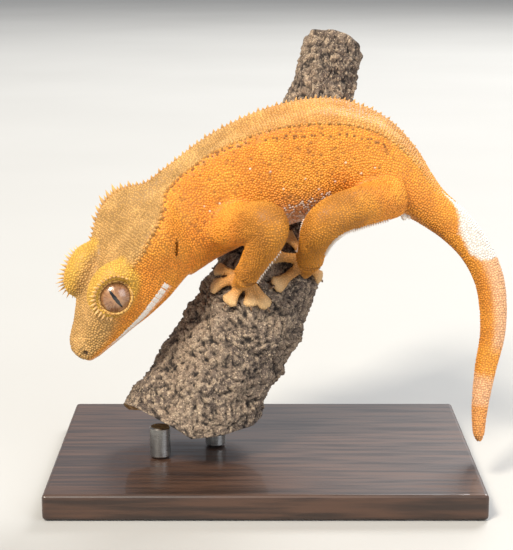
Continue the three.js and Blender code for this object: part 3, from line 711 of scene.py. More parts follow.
def rows(rings, spacing):
    """Staggered rows of points round a grid of rings."""
    middles = rings.mean(1)
    along = np.concatenate([[0], np.cumsum(np.linalg.norm(np.diff(middles, axis=0), axis=1))])
    made = []
    for k, s in enumerate(np.arange(0, along[-1], spacing * 0.87)):
        u = np.interp(s, along, np.arange(len(along)))
        i = min(int(u), len(rings) - 2)
        ring = rings[i] + (rings[i + 1] - rings[i]) * (u - i)
        ring = np.vstack([ring, ring[:1]])
        round_it = np.concatenate([[0], np.cumsum(np.linalg.norm(np.diff(ring, axis=0), axis=1))])
        count = max(3, round(round_it[-1] / spacing))
        wave = 0.22 * np.sin(np.arange(count) * 0.9 + s) + random.normal(0, 0.07, count)
        at = (np.arange(count) + 0.5 * (k % 2) + wave) / count % 1 * round_it[-1]
        made.append(np.stack([np.interp(at, round_it, ring[:, axis]) for axis in range(3)], -1))
    made = np.vstack(made)
    return made + random.normal(0, 0.085, made.shape)


def free_skin(points):
    """True where a granule may stand: off the eyes, the ear slits, the nostrils and the bark."""
    ok = sample_branch(points) > CONTACT + 0.2
    for side in (1, -1):
        ok &= np.linalg.norm(eye_local(points, side), axis=1) > EYE_RADIUS + 0.32
        ear = (points - head_point(-0.7, 11.0 * side, 2.8)) @ np.stack([slit[0], slit[2], SIDE], 1)
        ok &= np.linalg.norm(ear / (2.1, 0.42, 2.2), axis=1) > 1
        ok &= np.linalg.norm(points - head_point(NOSTRIL[0], NOSTRIL[1] * side, NOSTRIL[2]), axis=1) > 0.72
    return ok


def sample_branch(points):
    low, size = branch_low, np.array(branch_block.shape)
    index = np.clip(np.round(points / VOXEL).astype(int) - low, 0, size - 1)
    inside = np.all((points / VOXEL > low + 1) & (points / VOXEL < low + size - 2), axis=1)
    return np.where(inside, branch_block[tuple(index.T)], BAND * VOXEL)


class Crowd:
    """Points that keep a distance from each other, kept in the cells of a coarse grid."""

    def __init__(self, cell):
        self.cell, self.cells = cell, {}

    def add(self, points, distance):
        kept = []
        for i, p in enumerate(points.tolist()):
            x, y, z = (int(c // self.cell) for c in p)
            near = (q for a in (x - 1, x, x + 1) for b in (y - 1, y, y + 1) for c in (z - 1, z, z + 1)
                    for q in self.cells.get((a, b, c), ()))
            reach = distance[i] ** 2
            if all((p[0] - q[0])**2 + (p[1] - q[1])**2 + (p[2] - q[2])**2 > reach for q in near):
                self.cells.setdefault((x, y, z), []).append(p)
                kept.append(i)
        return points[kept]


crowd = Crowd(0.6)
granules = []
for kind, rings in [("body", body_grid)] + [part for parts in leg_parts.values() for part in parts]:
    points = rows(rings, SPACING[kind])
    points = points[np.abs(sample(flesh_only, points)) < 0.5]
    points = onto_skin(points)
    points = points[free_skin(points)]
    granules.append(crowd.add(points, np.full(len(points), SPACING[kind] * 0.72)))
row_count = sum(map(len, granules))
pick = random.integers(0, len(skin_quads), 190000)
share = random.random((2, len(pick), 1))
q = [skin_points[skin_quads[pick, k]] for k in range(4)]
fill = (q[0] * (1 - share[0]) + q[1] * share[0]) * (1 - share[1]) + (q[3] * (1 - share[0]) + q[2] * share[0]) * share[1]
fill = fill[np.abs(sample(flesh_only, fill)) < 0.2]
fill = onto_skin(fill, 2)
fill = fill[free_skin(fill)]
granules.append(crowd.add(fill, np.full(len(fill), 0.47)))
granules = np.vstack(granules)
print("granules:", row_count, "in rows,", len(granules) - row_count, "between")

# %% Build the granules
granule_marks, granule_uv = marks_at(granules)
back, belly, white, cream, limb, pad, brow, dark = granule_marks.T
body_place = granule_uv[:, 0] * LAST
angle_of = np.minimum(granule_uv[:, 1] * 2, 1 - granule_uv[:, 1] * 2)
on_body = granule_uv[:, 1] < 0.5
chance = random.random(len(granules))
upper_flank = on_body & (body_place > 8) & (body_place < 15) & (back < 0.3) & (angle_of < 0.24)
dark[upper_flank & (chance < 0.07)] = 0.5
flakes = on_body & (body_place > 10.8) & (body_place < 13) & (angle_of > 0.26) & (angle_of < 0.42)
white[flakes & (chance < 0.36)] = 0.7
white[on_body & (body_place > 9) & (body_place < 15) & (angle_of > 0.17) & (chance > 0.9975)] = 0.5
# Painted shadows of the crest scales: dark dots on the flank just beside each crest row.
for row_place in np.arange(7.4, 14.6, 0.2):
    for side in (1, -1):
        spot = body_rings(np.array([row_place]), np.array([(crest_row(row_place, side) + 0.022) * side % 1]))[0, 0]
        dark[np.linalg.norm(granules - spot, axis=1) < 0.48] = 0.72
granule_radius = 0.35 - 0.06 * limb - 0.06 * pad + 0.03 * belly - 0.03 * brow
granule_height = 0.18 - 0.07 * belly - 0.11 * pad + 0.01 * back
granule_radius = granule_radius * random.uniform(0.86, 1.12, len(granules))
tailward = random.normal(0, 0.04, granules.shape) + np.array([0.05, 0.0, 0.02])
coat = tufts("granules", granules, granule_marks, granule_uv, granule_radius, granule_height, tailward, "skin_body")
print("granule pieces:", [len(p.data.polygons) for p in coat])

# %% [markdown]
# ## Crest, lashes, lips and fringes
# The animal's name comes from two rows of pointed scales that run from over the eyes along the back.
# They, the lashes and the fringe scales are leaning spikes, so the granules' builder makes them too.

# %% Crest rows
def body_spot(place, v):
    """A point of the body's skin and its left and up directions."""
    place = np.array([place])
    point = onto_skin(body_rings(place, np.array([v]))[:, 0])[0]
    _, forward, left, up = body_frame(place)
    return point, forward[0], left[0], up[0]


def spikes(name, roots, lean, radius, height, slot="skin_body", marks=None, tone=None, **shape):
    roots = np.array(roots)
    found, uv = marks_at(roots)
    for key, value in (marks or {}).items():
        found[:, MARKS.index(key)] = value
    shape.setdefault("profile", ((-0.35, 1), (0.12, 0.9), (0.55, 0.5)))
    return tufts(name, roots, found, uv, np.array(radius), np.array(height), np.array(lean), slot, tone, **shape)


crest, crest_lean, crest_size = [], [], []
for side in (1, -1):
    place, count = 5.7, 0
    while place < PLACE["tail root"]:
        v = crest_row(place, side) * side % 1
        point, forward, left, up = body_spot(place, v)
        corner = math.exp(-((place - PLACE["crest corners"] - 0.1) ** 2) * 5)
        fade = min(1, (PLACE["tail root"] - place) / 3.2) * min(1, (place - 5.3) / 0.8)
        length = 1.8 * (0.75 + (0.5 if side > 0 else 1.0) * corner) * fade * (1, 0.6, 0.85, 0.55)[count % 4]
        crest.append(point)
        crest_size.append(length)
        crest_lean.append((up + left * side * (0.3 + 0.7 * corner) - forward * 0.45) * length * 0.55)
        speed = np.linalg.norm(body_spot(place + 0.01, v)[0] - point) / 0.01
        place += (1.15 - 0.2 * corner) / speed
        count += 1
crest_size = np.array(crest_size)
spikes("crest_scales", crest, crest_lean, 0.34 + 0.13 * crest_size, crest_size * 0.8, marks={"back": 0.85})
print("crest scales:", len(crest), "the longest", round(float(crest_size.max()), 2), "mm")

# %% Lashes and eyelids
lashes, lash_lean, lash_size, rims, rim_lean = [], [], [], [], []
for side in (1, -1):
    center, ahead, above, out = eye_frame(side)
    for i in range(19):
        t = i / 18
        angle = math.radians(-24 + 200 * t)
        x, y = math.cos(angle) * (EYE_RADIUS + 0.45), math.sin(angle) * (EYE_RADIUS + 0.25)
        left_over = 1 - ((x - BROW_SHIFT[0]) / BROW_RADII[0]) ** 2 - ((y - BROW_SHIFT[1]) / BROW_RADII[1]) ** 2
        height = BROW_SHIFT[2] + BROW_RADII[2] * math.sqrt(max(0.03, left_over))
        point = onto_skin((center + ahead * x + above * y + out * height)[None])[0]
        length = (2.4 if side > 0 else 2.9) * (1 - 0.45 * t) * (0.85 if i % 2 else 1)
        lashes.append(point)
        lash_size.append(length)
        lash_lean.append((ahead * x + above * y) / (EYE_RADIUS + 0.5) * length * 0.75)
lash_size = np.array(lash_size)
spikes("lashes", lashes, lash_lean, 0.3 + 0.07 * lash_size, lash_size * 0.62, marks={"brow": 1.0, "cream": 0.5}, tone=1.0)


def lid_edge(side, angle, beyond=0.0):
    """Where the round opening between the lids meets the eye, at an angle from straight ahead."""
    low, high = 0.0, EYE_RADIUS
    for _ in range(24):
        z = (low + high) / 2
        rho = math.sqrt(EYE_RADIUS**2 - z * z)
        inside = ((rho * math.cos(angle) / LID_RADII[0]) ** 2 + (rho * math.sin(angle) / LID_RADII[1]) ** 2
                  + ((z - LID_OUT) / LID_RADII[2]) ** 2) < 1
        low, high = (low, z) if inside else (z, high)
    center, ahead, above, out = eye_frame(side)
    spot = unit(ahead * math.cos(angle) * rho + above * math.sin(angle) * rho + out * low)
    return center + spot * (EYE_RADIUS + beyond), spot


def sweep(name, path, radius, sides=10):
    """A closed tube along a closed path, radius given per point."""
    path = np.array(path)
    run = unit(np.roll(path, -1, 0) - np.roll(path, 1, 0))
    away = unit(path - path.mean(0))
    across = np.cross(run, away)
    angle = np.arange(sides) / sides * 2 * np.pi
    rings = (path[:, None] + (away[:, None] * np.cos(angle)[None, :, None]
             + across[:, None] * np.sin(angle)[None, :, None]) * np.asarray(radius)[:, None, None])
    count = len(path)
    i, j = np.meshgrid(np.arange(count), np.arange(sides), indexing="ij")
    a, b = i * sides + j, i * sides + (j + 1) % sides
    c, d = (i + 1) % count * sides + (j + 1) % sides, (i + 1) % count * sides + j
    triangles = np.stack([a, d, c, a, c, b], -1).reshape(-1, 3)
    piece = fast_piece(name, rings.reshape(-1, 3), triangles)
    return piece


lid_rims = []
for side, label in ((1, "left"), (-1, "right")):
    turn = np.linspace(0, 2 * np.pi, 96, endpoint=False)
    path = [lid_edge(side, a, 0.2)[0] for a in turn]
    lid_rims.append(sweep(f"eyelid_{label}", path, 0.4 + 0.03 * np.sin(turn * 31)))
print("lashes:", len(lashes), "and two lid rims")

# %% Lips, fringes and spurs
LIP_PLACES = [0.5, 1.4, 2.4, 3.4, 4.4, 5.4, 6.2]
LIP_V = [0.335, 0.335, 0.335, 0.33, 0.302, 0.272, 0.262]


def lip_row(offset, steps, size, tall, marks, name, tone=None):
    """A row of plates along the lip; offset is the angle below the mouth line."""
    roots, lean, widths = [], [], []
    for side in (1, -1):
        for k in range(steps):
            place = LIP_PLACES[0] + (LIP_PLACES[-1] - LIP_PLACES[0]) * ((k + 0.5) / steps) ** 0.86
            v = (np.interp(place, LIP_PLACES, LIP_V) + offset) * side % 1
            point, forward, left, up = body_spot(place, v)
            roots.append(point)
            lean.append(forward * 0.08)
            widths.append((k + 0.5) / steps)
    widths = np.array(widths)
    return spikes(name, roots, lean, size * (0.85 + 0.2 * widths), 0.16, "skin_head", tone=tone,
                  marks={key: value(widths) for key, value in marks.items()},
                  profile=((-0.8, 1.06), (0.5, 1.0), (0.85, 0.8)), sides=8, stretch=tall(widths), square=0.8)


lip_row(0.004, 29, 0.63, lambda w: 0.9 + 0.7 * w, {"white": lambda w: smooth(0.28, 0.5, w), "dark": lambda w: 0 * w,
        "cream": lambda w: 0.6 + 0 * w}, "upper_lip_scales", 0.7)
lip_row(0.034, 44, 0.4, lambda w: 1.5 + 0 * w, {"belly": lambda w: 0.9 + 0 * w}, "lower_lip_scales")


def limb_fringe(name, leg, start, end, angle, count, length):
    """A line of pale pointed scales along one edge of a limb."""
    rings = leg_parts[leg][0][1]
    roots, lean = [], []
    for k in range(count):
        u = (start + (end - start) * k / (count - 1)) * (len(rings) - 1)
        i = min(int(u), len(rings) - 2)
        ring = rings[i] + (rings[i + 1] - rings[i]) * (u - i)
        turn = angle[0] + (angle[1] - angle[0]) * k / (count - 1)
        spot = ring[round(turn / 360 * len(ring)) % len(ring)]
        roots.append(spot)
        lean.append(unit(spot - ring.mean(0)) * length * 0.5 + unit(rings[i + 1].mean(0) - rings[i].mean(0)) * length * 0.5)
    roots = onto_skin(np.array(roots))
    return spikes(name, roots, lean, np.full(count, 0.4), np.full(count, length) * 0.7, marks={"white": 0.9}, tone=1.0)


for name, leg, start, end, angle, count, length in (
        ("fringe_knee_front", "hind_left", 0.62, 0.98, (152, 150), 20, 1.0), ("fringe_thigh_rear", "hind_left", 0.1, 0.5, (344, 348), 26, 1.1),
        ("fringe_shank_rear", "hind_left", 0.51, 0.8, (349, 352), 15, 1.1), ("fringe_forearm", "front_left", 0.7, 0.99, (66, 72), 14, 0.9),
        ("fringe_thigh_far", "hind_right", 0.1, 0.5, (333, 333), 20, 0.9), ("fringe_forearm_far", "front_right", 0.62, 0.98, (66, 66), 12, 0.9)):
    limb_fringe(name, leg, start, end, angle, count, length)
for side in (1, -1):
    spur_roots = [body_spot(16.15 + 0.2 * k, (0.415 + 0.01 * (k % 2)) * side % 1)[0] for k in range(3)]
    spikes(f"spurs_{'left' if side > 0 else 'right'}", spur_roots, np.array([[0.3, -0.1 * side, -0.35]] * 3),
           [0.6, 0.86, 0.55], [0.9, 1.5, 0.8], marks={"white": 1.0}, tone=1.0, sides=8,
           profile=((-0.35, 1), (0.35, 1.0), (0.8, 0.65)))
FLANK_SPOTS = [(12.2, 0.215), (11.6, 0.22), (12.85, 0.26), (11.45, 0.19), (13.45, 0.205), (14.1, 0.225),
               (12.5, 0.24), (10.9, 0.24), (13.1, 0.235)]
flank_roots = [body_spot(p, v)[0] for p, v in FLANK_SPOTS]
spikes("flank_spots", flank_roots, np.array([[0.1, 0, 0.05]] * len(flank_roots)), 0.42, 0.24, marks={"white": 0.45})
print("lips, fringes and spurs done")

# %% [markdown]
# ## Claws
# Each toe ends in a tiny hooked claw that stands clear of the pad, so that it can catch on bark.

# %% Claws
claw_rings = []
for name, leg in LEGS.items():
    for pad in leg["toes"]:
        path = np.array(toe_path(leg["palm"], pad))
        normal = bark_frame(pad[0], pad[1])[1]
        run = unit(path[4] - path[2])
        tip = path[5] + run * 0.1 + normal * 0.25
        claw_path = [tip - run * 0.5, tip + run * 0.3 + normal * 0.12, tip + run * 0.8 - normal * 0.05, tip + run * 1.05 - normal * 0.4]
        claw_rings.append(tube(claw_path, np.array([0.34, 0.27, 0.15, 0.03]), np.array([0.3, 0.25, 0.14, 0.03]),
                               np.cross(run, normal), 12, 8))


def joined(name, ring_sets):
    points, triangles, shift = [], [], 0
    for rings in ring_sets:
        p, t = surface_of(rings)
        points.append(p)
        triangles.append(t + shift)
        shift += len(p)
    piece = fast_piece(name, np.vstack(points), np.vstack(triangles))
    return piece


claws = joined("claws", claw_rings)
print("claws:", len(claw_rings))

# %% [markdown]
# ## Eyes
# A gecko has no moving lids: a clear scale covers a coppery iris with an upright slit pupil. The
# ball carries its own coordinates, ahead and above, so that the iris can be drawn by formulas.

# %% Eyeballs
def eyeball(side, label):
    center, ahead, above, out = eye_frame(side)
    polar = np.linspace(0.02, np.pi - 0.02, 72)
    turn = np.arange(96) / 96 * 2 * np.pi
    local = np.stack([np.sin(polar)[:, None] * np.cos(turn), np.sin(polar)[:, None] * np.sin(turn),
                      np.cos(polar)[:, None] + 0 * turn], -1)
    rings = center + local @ np.stack([ahead, above, out]) * (EYE_RADIUS - 0.02)
    points, triangles = surface_of(rings)
    ball = fast_piece(f"eyeball_{label}", points, triangles)
    seen = eye_local(points, side) / EYE_RADIUS
    paint(ball, {"eye_ahead": seen[:, 0], "eye_above": seen[:, 1], "eye_out": seen[:, 2]})
    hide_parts(f"eye_{label}")
    return ball


eyeballs = [eyeball(1, "left"), eyeball(-1, "right")]

# %% [markdown]
# ## Bark
# The perch is rough: thick plates, dark furrows between them and grit on top. The plates of the
# solid are kept, and a finer cell pattern is pressed into them, mostly inwards, so the toes stay
# on top. Its ends are sawn, with growth rings.

# %% Perch
CUT_HEIGHT = 14.0
RINGS, SIDES = 330, 260


def bark_grid():
    around = np.arange(SIDES) / SIDES * 360
    low, high = np.zeros(SIDES), np.full(SIDES, 0.5)
    for _ in range(24):
        middle = (low + high) / 2
        below = bark_frame(middle, around)[0][:, 2] < CUT_HEIGHT
        low, high = np.where(below, middle, low), np.where(below, high, middle)
    share = np.linspace(0, 1, RINGS)[:, None]
    along = high[None] + (1 - high[None]) * share
    points, normal, _ = bark_frame(along, around[None])
    ends = smooth(0, 0.02, share) * smooth(1, 0.98, share)
    return points, normal, ends


def plate_pattern(p):
    """Height of the fine bark at a place: flat plates, cracks between them, and grit."""
    warp = noise.noise_vector(Vector(p) * 0.16) * 1.6
    q = Vector(p) * 0.3 + warp
    distance, _ = noise.voronoi(q)
    crack = distance[1] - distance[0]
    small, _ = noise.voronoi(Vector(p) * 0.95 + warp)
    plates = min(crack * 2.4, 1) - 1
    grain = min((small[1] - small[0]) * 2.2, 1) - 1
    grit = noise.fractal(Vector(p) * 1.6, 0.6, 2.2, 4)
    lumps = noise.fractal(Vector(p) * 0.5, 0.7, 2.1, 5)
    return 0.5 * plates + 0.25 * grain + 0.3 * min(lumps, 0.25) + 0.2 * min(grit, 0.3) - 0.05


def build_perch():
    points, normal, ends = bark_grid()
    flat = points.reshape(-1, 3)
    height = np.array([plate_pattern(p) for p in flat.tolist()]).reshape(points.shape[:2])
    press = 1.25 * np.minimum(height, 0.08) * (0.15 + 0.85 * ends)
    points = points + normal * press[..., None]
    rings = [points]
    for end, sign in ((points[0], 1), (points[-1], -1)):
        middle = end.mean(0)
        shrunk = [middle + (end - middle) * k for k in (0.985, 0.8, 0.6, 0.4, 0.2, 0.04)]
        rings = [np.stack(shrunk[::-1])] + rings if sign > 0 else rings + [np.stack(shrunk)]
    grid = np.vstack(rings)
    face = np.concatenate([np.ones((6, SIDES)), np.zeros((RINGS, SIDES)), np.ones((6, SIDES))])
    depth = np.concatenate([np.zeros((6, SIDES)), height, np.zeros((6, SIDES))])
    p, t = surface_of(grid)
    piece = fast_piece("perch_bark", p, t)
    middle = spline(BRANCH, np.clip(np.interp(p[:, 2], BRANCH[:, 2], np.linspace(0, 1, 5)), 0, 1))
    pad = lambda values: np.concatenate([values.ravel(), [values[0, 0], values[-1, 0]]])
    paint(piece, {"sawn": pad(face), "depth": pad(depth), "ring": np.linalg.norm(p - middle, axis=1)})
    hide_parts("perch")
    return piece


perch = build_perch()
print("perch:", len(perch.data.polygons), "triangles")

# %% [markdown]
# ## Stand
# A turned or sawn stand is simple, so its charm is in the edges: the board gets a rounded arris
# and the rods a small chamfer, which catch the light as real edges do.

# %% Board and rods
def board(node):
    low, high = [np.array(k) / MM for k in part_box(node)]
    made = bmesh.new()
    bmesh.ops.create_cube(made, size=1, matrix=frame["nodes"][node].matrix_world)
    for v in made.verts:
        v.co = [low[k] * MM + (v.co[k] + 0.5) * (high[k] - low[k]) * MM for k in range(3)]
    bmesh.ops.bevel(made, geom=made.edges[:], offset=0.9 * MM, segments=4, profile=0.5, affect="EDGES")
    mesh = bpy.data.meshes.new("board")
    made.to_mesh(mesh)
    made.free()
    piece = bpy.data.objects.new("board", mesh)
    scene.collection.objects.link(piece)
    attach(piece, "root")
    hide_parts(node)
    return piece


def rod(node):
    low, high = [np.array(k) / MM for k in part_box(node)]
    radius, middle = (high[0] - low[0]) / 2, (low + high) / 2
    outline = [(radius - 0.35, low[2]), (radius, low[2] + 0.35), (radius, high[2] - 0.35), (radius - 0.35, high[2])]
    angle = np.arange(48) / 48 * 2 * np.pi
    rings = np.array([[(middle[0] + r * math.cos(a), middle[1] + r * math.sin(a), z) for a in angle] for r, z in outline])
    points, triangles = surface_of(rings)
    piece = fast_piece(node.replace("stand_", ""), points, triangles)
    piece.data.polygons.foreach_set("use_smooth", [False] * len(piece.data.polygons))
    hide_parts(node)
    return piece


stand_board = board("stand_base")
rods = [rod("stand_rod_front"), rod("stand_rod_rear")]
print("stand: a board and", len(rods), "rods")

# %% [markdown]
# ## Materials
# Every finish is drawn with nodes. What two materials share is a node group with named sockets,
# so it can be used again, and only the shader itself stays in each material.

# %% Node helpers
def color(text):
    """A linear colour from a screen colour such as E8962F."""
    parts = [int(text[k:k + 2], 16) / 255 for k in (0, 2, 4)]
    return (*[((c + 0.055) / 1.055) ** 2.4 if c > 0.04 else c / 12.92 for c in parts], 1)


def node(tree, kind, inputs=(), **settings):
    made = tree.nodes.new("ShaderNode" + kind)
    for key, value in settings.items():
        setattr(made, key, value)
    for key, value in dict(inputs).items():
        if isinstance(value, bpy.types.NodeSocket):
            tree.links.new(value, made.inputs[key])
        else:
            made.inputs[key].default_value = value
    return made


def mix(tree, factor, a, b, blend="MIX"):
    """Blends colours a and b; each is a socket or a colour."""
    return node(tree, "Mix", {0: factor, 6: a, 7: b}, data_type="RGBA", blend_type=blend).outputs[2]


def calc(tree, operation, *values, clamp=False):
    return node(tree, "Math", dict(enumerate(values)), operation=operation, use_clamp=clamp).outputs[0]


def ramp(tree, value, low, high, to_low=0.0, to_high=1.0):
    """An eased step from to_low to to_high as value goes from low to high."""
    return node(tree, "MapRange", {"Value": value, "From Min": low, "From Max": high, "To Min": to_low,
                                   "To Max": to_high}, interpolation_type="SMOOTHSTEP").outputs[0]


def named(tree, name):
    return node(tree, "Attribute", attribute_name=name).outputs["Fac"]


def group(name, inputs, outputs):
    tree = bpy.data.node_groups.new(name, "ShaderNodeTree")
    for label, kind in inputs.items():
        tree.interface.new_socket(label, in_out="INPUT", socket_type="NodeSocket" + kind)
    for label, kind in outputs.items():
        tree.interface.new_socket(label, in_out="OUTPUT", socket_type="NodeSocket" + kind)
    return tree, tree.nodes.new("NodeGroupInput").outputs, tree.nodes.new("NodeGroupOutput").inputs


def use(tree, shared, inputs=()):
    made = tree.nodes.new("ShaderNodeGroup")
    made.node_tree = shared
    for key, value in dict(inputs).items():
        if isinstance(value, bpy.types.NodeSocket):
            tree.links.new(value, made.inputs[key])
        else:
            made.inputs[key].default_value = value
    return made.outputs


def material(name, pieces, **constants):
    """A new material on the pieces, with constants on the shader's own sockets."""
    made = bpy.data.materials.new(name)
    made.use_nodes = True
    shader = made.node_tree.nodes["Principled BSDF"]
    for key, value in constants.items():
        shader.inputs[key.replace("_", " ")].default_value = value
    for piece in pieces:
        piece.data.materials.clear()
        piece.data.materials.append(made)
    return made.node_tree, shader.inputs


def millimetres(tree):
    """The place on the object in millimetres."""
    place = node(tree, "TexCoord").outputs["Object"]
    return node(tree, "VectorMath", {0: place, "Scale": 1000.0}, operation="SCALE").outputs[0]


def texture(tree, place, scale, detail=2.0, kind="TexNoise", **settings):
    return node(tree, kind, {"Vector": place, "Scale": scale, **({"Detail": detail} if kind == "TexNoise" else {})},
                **settings)

# %% [markdown]
# ### Gecko colours
# The group takes the markings, mottles their edges with noise and gives the colour. Granules are
# painted darker at the base as painted shade in the gaps between them, and a touch lighter at the top as a painted
# highlight; the number rise drives it.

# %% Shared group: gecko colours
MARK_SOCKETS = {m.capitalize(): "Float" for m in MARKS}
tree, marks_in, out_sockets = group("Gecko colours", {"Place": "Vector", **MARK_SOCKETS, "Tone": "Float", "Rise": "Float"},
                                    {"Color": "Color", "Roughness": "Float", "Height": "Float"})
patches = texture(tree, marks_in["Place"], 0.16, 3.0).outputs["Fac"]
fine = texture(tree, marks_in["Place"], 1.1, 3.0).outputs["Fac"]
flank = mix(tree, ramp(tree, patches, 0.36, 0.62), color("E18C28"), color("E9992F"))
flank = mix(tree, ramp(tree, fine, 0.58, 0.74, 0, 0.35), flank, color("CC7822"))
limb = mix(tree, ramp(tree, patches, 0.35, 0.65), color("AE7016"), color("CC8722"))
under = mix(tree, ramp(tree, fine, 0.4, 0.65), color("E0A070"), color("EFC09A"))
back = mix(tree, ramp(tree, patches, 0.35, 0.65), color("B18749"), color("CEA05D"))
back = mix(tree, ramp(tree, fine, 0.56, 0.72, 0, 0.5), back, color("93702F"))
shade = mix(tree, calc(tree, "MULTIPLY", marks_in["Limb"], 0.9), flank, limb)
shade = mix(tree, marks_in["Belly"], shade, under)
shade = mix(tree, marks_in["Back"], shade, back)
shade = mix(tree, calc(tree, "MULTIPLY", marks_in["Brow"], 0.85), shade, color("D9A83C"))
shade = mix(tree, marks_in["Pad"], shade, color("CFA873"))
shade = mix(tree, marks_in["Cream"], shade, color("E6B48A"))
shade = mix(tree, marks_in["White"], shade, color("E6DED3"))
tone = node(tree, "MapRange", {"Value": marks_in["Tone"], "To Min": 0.87, "To Max": 1.11}).outputs[0]
# Painted shade between the granules: darker towards each base, a painted highlight a touch lighter at the tip; smooth
# pads get less.
lift = ramp(tree, marks_in["Rise"], 0.0, 0.75, 0.64, 1.02)
soft = calc(tree, "MULTIPLY", marks_in["Pad"], 0.65)
lift = calc(tree, "ADD", lift, calc(tree, "MULTIPLY", calc(tree, "SUBTRACT", 1.0, lift), soft))
both = calc(tree, "MULTIPLY", tone, lift)
grey = node(tree, "CombineColor", {0: both, 1: both, 2: both}).outputs[0]
shade = mix(tree, 1.0, shade, grey, "MULTIPLY")
# Dark: the skin's dark flecks, painted shade in the nostrils and ear slits, and painted shadows of the crest scales on
# the flank.
shade = mix(tree, marks_in["Dark"], shade, color("2A120A"))
tree.links.new(shade, out_sockets["Color"])
tree.links.new(ramp(tree, fine, 0.3, 0.7, 0.5, 0.68), out_sockets["Roughness"])
tree.links.new(fine, out_sockets["Height"])
gecko_colours = tree


def gecko_material(name, pieces, bump, **constants):
    tree, shader = material(name, pieces, **constants)
    inputs = {m.capitalize(): named(tree, m) for m in MARKS}
    inputs.update(Place=millimetres(tree), Tone=named(tree, "tone"), Rise=named(tree, "rise"))
    made = use(tree, gecko_colours, inputs)
    tree.links.new(made["Color"], shader["Base Color"])
    tree.links.new(made["Roughness"], shader["Roughness"])
    relief = node(tree, "Bump", {"Height": made["Height"], "Strength": bump, "Distance": 0.00012})
    tree.links.new(relief.outputs[0], shader["Normal"])
    return tree, shader


coat_pieces = [o for o in scene.objects if o.type == "MESH" and "rise" in o.data.attributes and o != skin]
gecko_material("gecko_skin", [skin], 0.8)
gecko_material("gecko_scales", coat_pieces, 0.35)
print("gecko colours on", len(coat_pieces) + 1, "pieces")

# %% Lids and claws
tree, shader = material("lid_rim", lid_rims, Roughness=0.45)
place = millimetres(tree)
speckle = texture(tree, place, 2.4, 2.0).outputs["Fac"]
tree.links.new(mix(tree, ramp(tree, speckle, 0.4, 0.62), color("8A5A20"), color("D2A456")), shader["Base Color"])
relief = node(tree, "Bump", {"Height": speckle, "Strength": 0.6, "Distance": 0.0001})
tree.links.new(relief.outputs[0], shader["Normal"])

tree, shader = material("claw_horn", [claws], Roughness=0.3)
streak = texture(tree, millimetres(tree), 3.0, 2.0).outputs["Fac"]
tree.links.new(mix(tree, ramp(tree, streak, 0.35, 0.7), color("4A3320"), color("8A6A48")), shader["Base Color"])

# %% [markdown]
# ### Iris
# The iris is a ring of fibres round a toothed slit. A noise read in polar directions stretches
# along the radius, which makes fibres without any seam. A clear coat stands for the spectacle.

# %% Eye material
PUPIL_TILT = math.radians(20)
PUPIL_HALF = (0.095, 0.66)
tree, shader = material("iris", eyeballs, Roughness=0.22, Coat_Weight=1.0, Coat_Roughness=0.02)
ahead, above, out = [named(tree, f"eye_{k}") for k in ("ahead", "above", "out")]
across = calc(tree, "ADD", calc(tree, "MULTIPLY", ahead, math.cos(PUPIL_TILT)), calc(tree, "MULTIPLY", above, math.sin(PUPIL_TILT)))
along = calc(tree, "SUBTRACT", calc(tree, "MULTIPLY", above, math.cos(PUPIL_TILT)), calc(tree, "MULTIPLY", ahead, math.sin(PUPIL_TILT)))
radius = calc(tree, "SQRT", calc(tree, "ADD", calc(tree, "MULTIPLY", ahead, ahead), calc(tree, "MULTIPLY", above, above)))
safe = calc(tree, "MAXIMUM", radius, 0.02)
polar = node(tree, "CombineXYZ", {0: calc(tree, "MULTIPLY", calc(tree, "DIVIDE", ahead, safe), 7.0),
                                  1: calc(tree, "MULTIPLY", calc(tree, "DIVIDE", above, safe), 7.0),
                                  2: calc(tree, "MULTIPLY", radius, 2.2)}).outputs[0]
fibre = texture(tree, polar, 1.6, 5.0).outputs["Fac"]
speckle = texture(tree, node(tree, "CombineXYZ", {0: ahead, 1: above, 2: out}).outputs[0], 9.0, 4.0).outputs["Fac"]
iris = mix(tree, ramp(tree, fibre, 0.32, 0.7), color("7A4E31"), color("9E754F"))
iris = mix(tree, ramp(tree, speckle, 0.55, 0.7, 0, 0.5), iris, color("5E3521"))
iris = mix(tree, ramp(tree, radius, 0.66, 0.86), iris, color("2B160F"))
iris = mix(tree, ramp(tree, calc(tree, "ABSOLUTE", across), 0.34, 0.12, 0, 0.35), iris, color("B68A62"))
teeth = calc(tree, "MULTIPLY", calc(tree, "SINE", calc(tree, "MULTIPLY", along, 22.0)), 0.006)
reach = calc(tree, "DIVIDE", along, PUPIL_HALF[1])
width = calc(tree, "MULTIPLY", calc(tree, "SUBTRACT", 1.0, calc(tree, "MULTIPLY", reach, reach)), PUPIL_HALF[0])
gap = calc(tree, "SUBTRACT", calc(tree, "ABSOLUTE", across), calc(tree, "ADD", width, teeth))
eye_color = mix(tree, ramp(tree, gap, 0.008, -0.012), iris, color("040202"))
tree.links.new(eye_color, shader["Base Color"])
relief = node(tree, "Bump", {"Height": fibre, "Strength": 0.25, "Distance": 0.0002})
tree.links.new(relief.outputs[0], shader["Normal"])
print("iris drawn")
